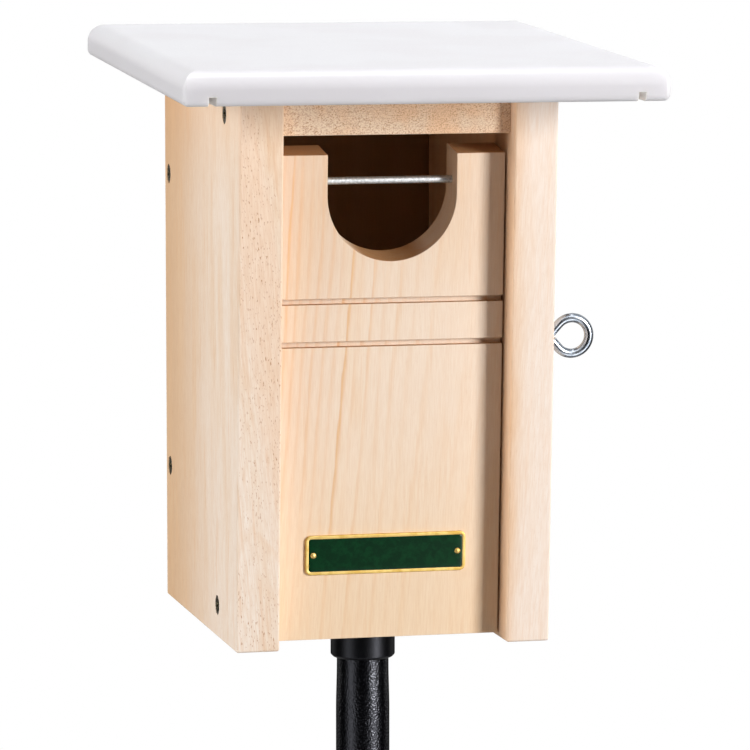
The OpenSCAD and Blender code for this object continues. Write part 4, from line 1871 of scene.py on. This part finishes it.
@dataclass
class PoleMount(SubAssembly):
    """The black flange, its set screw and the section of pole that it sits on.

    Attributes:
        screws: The screws, whose holes the flange takes.
        drop: The collar's height, from the top of the flange.
        bevel: The bevel of its lip.
        root_r: The radius between flange and collar.
        pole_d: The pole's diameter.
        neck_d: The diameter of its neck.
        bore_d: The diameter of its bore.
        neck_len: The length of the neck.
        taper: The length over which the pole draws in to the neck.
        collar_gap: The gap between neck and collar.
        set_screw: The set screw's diameter and how far it stands out.
    """

    screws: Screws
    drop: float = 19.0
    bevel: float = 1.0
    root_r: float = 1.2
    pole_d: float = 24.0
    neck_d: float = 23.2
    bore_d: float = 21.2
    neck_len: float = 22.0
    taper: float = 21.0
    collar_gap: float = 0.04
    set_screw: Pair = (5.0, 1.2)

    def build(self) -> None:
        """Makes the three pieces."""
        self.flange_piece()
        self.pole_piece()
        self.grub_screw()

    def flange_piece(self) -> None:
        """Makes the flange and collar in one, with a radiused root and a bevelled lip."""
        wide, r = FLANGE_D / 2, COLLAR_D / 2
        bore = self.neck_d / 2 + self.collar_gap
        top_ease, low_ease, mouth_ease = 0.3, 0.5, 0.2
        lip_ease = (0.15, 0.4)
        lip, end = self.bevel - self.drop, -self.drop
        profile = [
            (bore, 0),
            (wide - top_ease, 0),
            (wide, -top_ease),
            (wide, low_ease - FLANGE_T),
            (wide - low_ease, -FLANGE_T),
            *arc(self.root_r, 90, 180, 4, (r + self.root_r, -FLANGE_T - self.root_r)),
            (r, lip + lip_ease[1]),
            (r - lip_ease[0], lip),
            (r - self.bevel, end + lip_ease[0]),
            (r - self.bevel - lip_ease[1], end),
            (bore + mouth_ease, end),
            (bore, end + mouth_ease),
        ]
        place = HOUSE @ Matrix.Translation((0, POLE_BACK, FLOOR_UP))
        piece = mesh_object("flange_collar", lathe(profile, 96, closed=True), place)
        carve(piece, self.screws.sinks("flange_screws"))
        self.seat(smooth(piece), Body.HOUSE, "flange_coat", "pole_flange", finish=COLLAR_COAT)

    def pole_piece(self) -> None:
        """Makes the pole tube with its drawn-in neck."""
        r, neck, bore = self.pole_d / 2, self.neck_d / 2, self.bore_d / 2
        shoulder = POLE_LEN - self.neck_len - self.taper
        inner_ease, ease, foot, rows = 0.3, 0.4, 0.5, 12
        shares = [i / 10 for i in range(11)]
        profile = [
            (bore, ease),
            (bore + inner_ease, 0),
            (r - ease, 0),
            *[(r, foot + (shoulder - foot) * k / rows) for k in range(rows)],
            *[(r - (r - neck) * (3 * s**2 - 2 * s**3), shoulder + self.taper * s) for s in shares],
            (neck, POLE_LEN - ease),
            (neck - inner_ease, POLE_LEN),
            (bore, POLE_LEN),
        ]
        tube = mesh_object("pole_tube", lathe(profile, 96, closed=True), Matrix.Scale(MM, 4))
        self.seat(smooth(tube), Body.HOUSE, "pole_coat", "pole_section", finish=POLE_COAT)

    def grub_screw(self) -> None:
        """Makes the socket set screw at the back of the collar."""
        d, out = self.set_screw
        start, ease = 0.02, 0.4
        reach = (COLLAR_D - self.neck_d) / 2 + out
        end = [(d / 2, reach - ease), (d / 2 - ease, reach), (0, reach)]
        profile = [(0, start), (d / 2, start), *end]
        height = FLOOR_UP - (FLANGE_T + self.drop) / 2
        spot = Matrix.Translation((0, POLE_BACK + self.neck_d / 2, height))
        place = HOUSE @ spot @ Matrix.Rotation(-math.pi / 2, 4, "X")
        screw = mesh_object("grub_screw", lathe(profile, 36), place)
        floor, top = reach / 2, reach + 2
        socket = lathe([(0, floor), (d / 4, floor), (d / 4, top), (0, top)], 6)
        carve(screw, mesh_object("socket", socket, place))
        slot, node = "bright_zinc", "flange_set_screw"
        self.seat(smooth(screw, 30), Body.HOUSE, slot, node, finish=BRIGHT_ZINC)


# ---------------------------------------------------------------- studio


@dataclass(frozen=True)
class SoftBox:
    """One studio lamp.

    Attributes:
        name: The lamp's name.
        azimuth: Degrees round from the front, to the right.
        elevation: Degrees above the object's middle.
        away: Its distance in metres.
        size: Its width and height in metres.
        level: The light on a surface square to it, where 1 shows a colour as written.
        tint: Its colour.
        mirrored: Whether metal shows it; the surround has panels of its own for that.
    """

    name: str
    azimuth: float
    elevation: float
    away: float
    size: Pair
    level: float
    tint: str = "ffffff"
    mirrored: bool = True

    def hang(self, aim: Vector) -> None:
        """Makes the lamp.

        Args:
            aim: The point that it shines at.
        """
        a, e = math.radians(self.azimuth), math.radians(self.elevation)
        out = Vector((math.sin(a) * math.cos(e), -math.cos(a) * math.cos(e), math.sin(e)))
        lamp = bpy.data.lights.new(self.name, "AREA")
        lamp.shape, lamp.size, lamp.size_y = "RECTANGLE", *self.size
        lamp.energy = self.level * math.pi**2 * self.away**2
        lamp.color = paint(self.tint)[:3]
        obj = add_object(self.name, lamp)
        obj.location = aim + out * self.away
        obj.rotation_euler = out.to_track_quat("Z", "Y").to_euler()
        obj.visible_glossy = self.mirrored


@dataclass
class Studio:
    """The camera, lamps, pale floor and white surround.

    Attributes:
        camera_at: The camera's place in metres.
        camera_dip: How far it looks down, in degrees.
        camera_turn: How far it looks to the right, in degrees.
        lens: Its focal length for a sensor 36 mm wide.
        aim: The point that the lamps shine at.
        lamps: The lamps.
        ambient: The level of the surround's own light.
        bounce: Its colour, warmed by the wood about it.
        floor_tone: The floor's colour for light that bounces off it.
        floor_half: Half the floor's width in metres.
        eye: The point that the floor is mirrored from, in metres up.
        ahead: The level direction towards the camera.
        aside: The level direction to the camera's right.
    """

    camera_at: Triple = (-0.4516, -1.94965, 0.64447)
    camera_dip: float = 6.6123
    camera_turn: float = 13.1998
    lens: float = 217.40
    aim: Triple = (0.0, 0.0, 0.42)
    lamps: tuple[SoftBox, ...] = (
        SoftBox("key_softbox", 37, 8, 2.4, (0.62, 1.0), 1.0, "fffdfb"),
        SoftBox("left_softbox", -84, 6, 1.6, (0.22, 1.2), 0.85, "fffefc", mirrored=False),
        SoftBox("top_softbox", 20, 84, 1.9, (0.9, 0.7), 0.64),
        SoftBox("rear_softbox", 118, 34, 2.4, (1.2, 1.2), 0.6, mirrored=False),
    )
    ambient: float = 0.04
    bounce: str = "ffd8b0"
    floor_tone: str = "868688"
    floor_half: float = 9.0
    eye: float = 0.35
    ahead: Triple = (-0.228, -0.974, 0.0)
    aside: Triple = (0.974, -0.228, 0.0)

    def set_up(self) -> None:
        """Makes the camera first, then the light and the floor."""
        self.camera()
        for lamp in self.lamps:
            lamp.hang(Vector(self.aim))
        self.surround()
        self.floor()
        bpy.context.scene.view_settings.view_transform = "Standard"

    def camera(self) -> None:
        """Makes the camera at the photograph's place, angle and focal length."""
        data = bpy.data.cameras.new("studio_camera")
        data.lens, data.sensor_width = self.lens, 36.0
        data.clip_start, data.clip_end = 0.05, 60.0
        camera = add_object("studio_camera", data)
        camera.location = self.camera_at
        tilt, turn = math.radians(90 - self.camera_dip), math.radians(-self.camera_turn)
        camera.rotation_euler = Euler((tilt, 0.0, turn))
        bpy.context.scene.camera = camera

    @staticmethod
    def rays(tree: bpy.types.NodeTree) -> tuple[Term, Term]:
        """Tells what kind of ray is shaded.

        Args:
            tree: The tree that asks.

        Returns:
            1 for the camera's rays, and 1 for those that metal or enamel sends on.
        """
        kinds = add_node(tree, "ShaderNodeLightPath").outputs
        names = ("Is Camera Ray", "Is Glossy Ray", "Is Transmission Ray")
        seen, glossy, passed = (Term(kinds[name]) for name in names)
        return seen, glossy.at_least(passed)

    def surround(self) -> None:
        """Makes the world: white to the camera, panels to metal, dim as a light."""
        world = bpy.data.worlds.new("studio_surround")
        tree = empty_tree(world)
        seen, mirrored = self.rays(tree)
        way = make(tree, "ShaderNodeTexCoord", output="Generated")
        level = between(mirrored, self.ambient, self.panels(way))
        sockets = {
            "Color": blend(seen.at_least(mirrored), paint(self.bounce), WHITE),
            "Strength": between(seen, level, 1.0),
        }
        back = make(tree, "ShaderNodeBackground", sockets)
        add_node(tree, "ShaderNodeOutputWorld", {"Surface": back})
        bpy.context.scene.world = world

    def panels(self, way: Term) -> Term:
        """What metal shows: a wide panel with a tube in it at each side, pale above and behind.

        Args:
            way: The direction of the mirrored ray.

        Returns:
            The level seen that way.
        """
        front, upright = way.dot(self.ahead), way.dot((0.0, 0.0, 1.0))
        right = way.dot(self.aside).span(-0.3, 0.3)
        box = front.span(0.2, 0.36) * front.span(0.88, 0.78)
        box = box * right.span(0.0, 1.0, (0.6, 0.65))
        tube = front.span(0.42, 0.54) * front.span(0.74, 0.62)
        tube = tube * right.span(0.0, 1.0, (1.1, 2.3))
        pale = upright.span(0.2, 0.6, (0.015, 0.5))
        under = upright.span(-0.45, -0.8, (0.015, 0.35))
        rear = front.span(-0.3, -0.5) * front.span(-0.86, -0.74, (0.06, 0.6))
        rear = rear * upright.span(-0.22, -0.1, (0.15, 1.0))
        brim = front.span(-0.84, -0.93) * upright.span(-0.08, 0.06)
        return (box + tube).at_least(pale.at_least(under).at_least(rear.at_least(brim)))

    def floor(self) -> None:
        """Makes the pale floor, white to the camera but for the object's shadow."""
        bm = bmesh.new()
        bmesh.ops.create_grid(bm, x_segments=1, y_segments=1, size=self.floor_half)
        floor = mesh_object("studio_floor", bm, Matrix())
        made = bpy.data.materials.new("matt_studio_floor")
        tree = empty_tree(made)
        seen, mirrored = self.rays(tree)
        tone = blend(seen, paint(self.floor_tone), WHITE)
        matt = make(tree, "ShaderNodeBsdfDiffuse", {"Color": tone})
        spot = make(tree, "ShaderNodeTexCoord", output="Object")
        way = spot.vector("SUBTRACT", (0.0, 0.0, self.eye)).vector("NORMALIZE")
        level = between(mirrored, 1.0, self.panels(way))
        shown = make(tree, "ShaderNodeEmission", {"Color": WHITE, "Strength": level})
        apart = spot.vector("LENGTH")
        share = seen * apart.span(0.3, 1.0, (0.75, 1.0))
        share = share.at_least(mirrored * apart.span(0.15, 0.5))
        mixed = make(tree, "ShaderNodeMixShader", {0: share, 1: matt, 2: shown})
        add_node(tree, "ShaderNodeOutputMaterial", {"Surface": mixed})
        floor.data.materials.append(made)


def dress_cad_nodes() -> None:
    """Gives the CAD nodes that stay in view their finish."""
    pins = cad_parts["door_pivot_pins"]
    pins.data.materials.clear()
    pins.data.materials.append(BRIGHT_ZINC.material())


def main() -> None:
    """Builds the nest box in its studio."""
    logging.basicConfig(level=logging.INFO, format="%(name)s: %(message)s")
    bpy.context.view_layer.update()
    Studio().set_up()
    screws = Screws()
    door = FrontDoor()
    parts: tuple[SubAssembly, ...] = (
        NestBox(screws),
        MouldedRoof(),
        door,
        EyePin(door),
        screws,
        PoleMount(screws),
    )
    for part in parts:
        part.build()
    dress_cad_nodes()


if __name__ == "__main__":
    main()
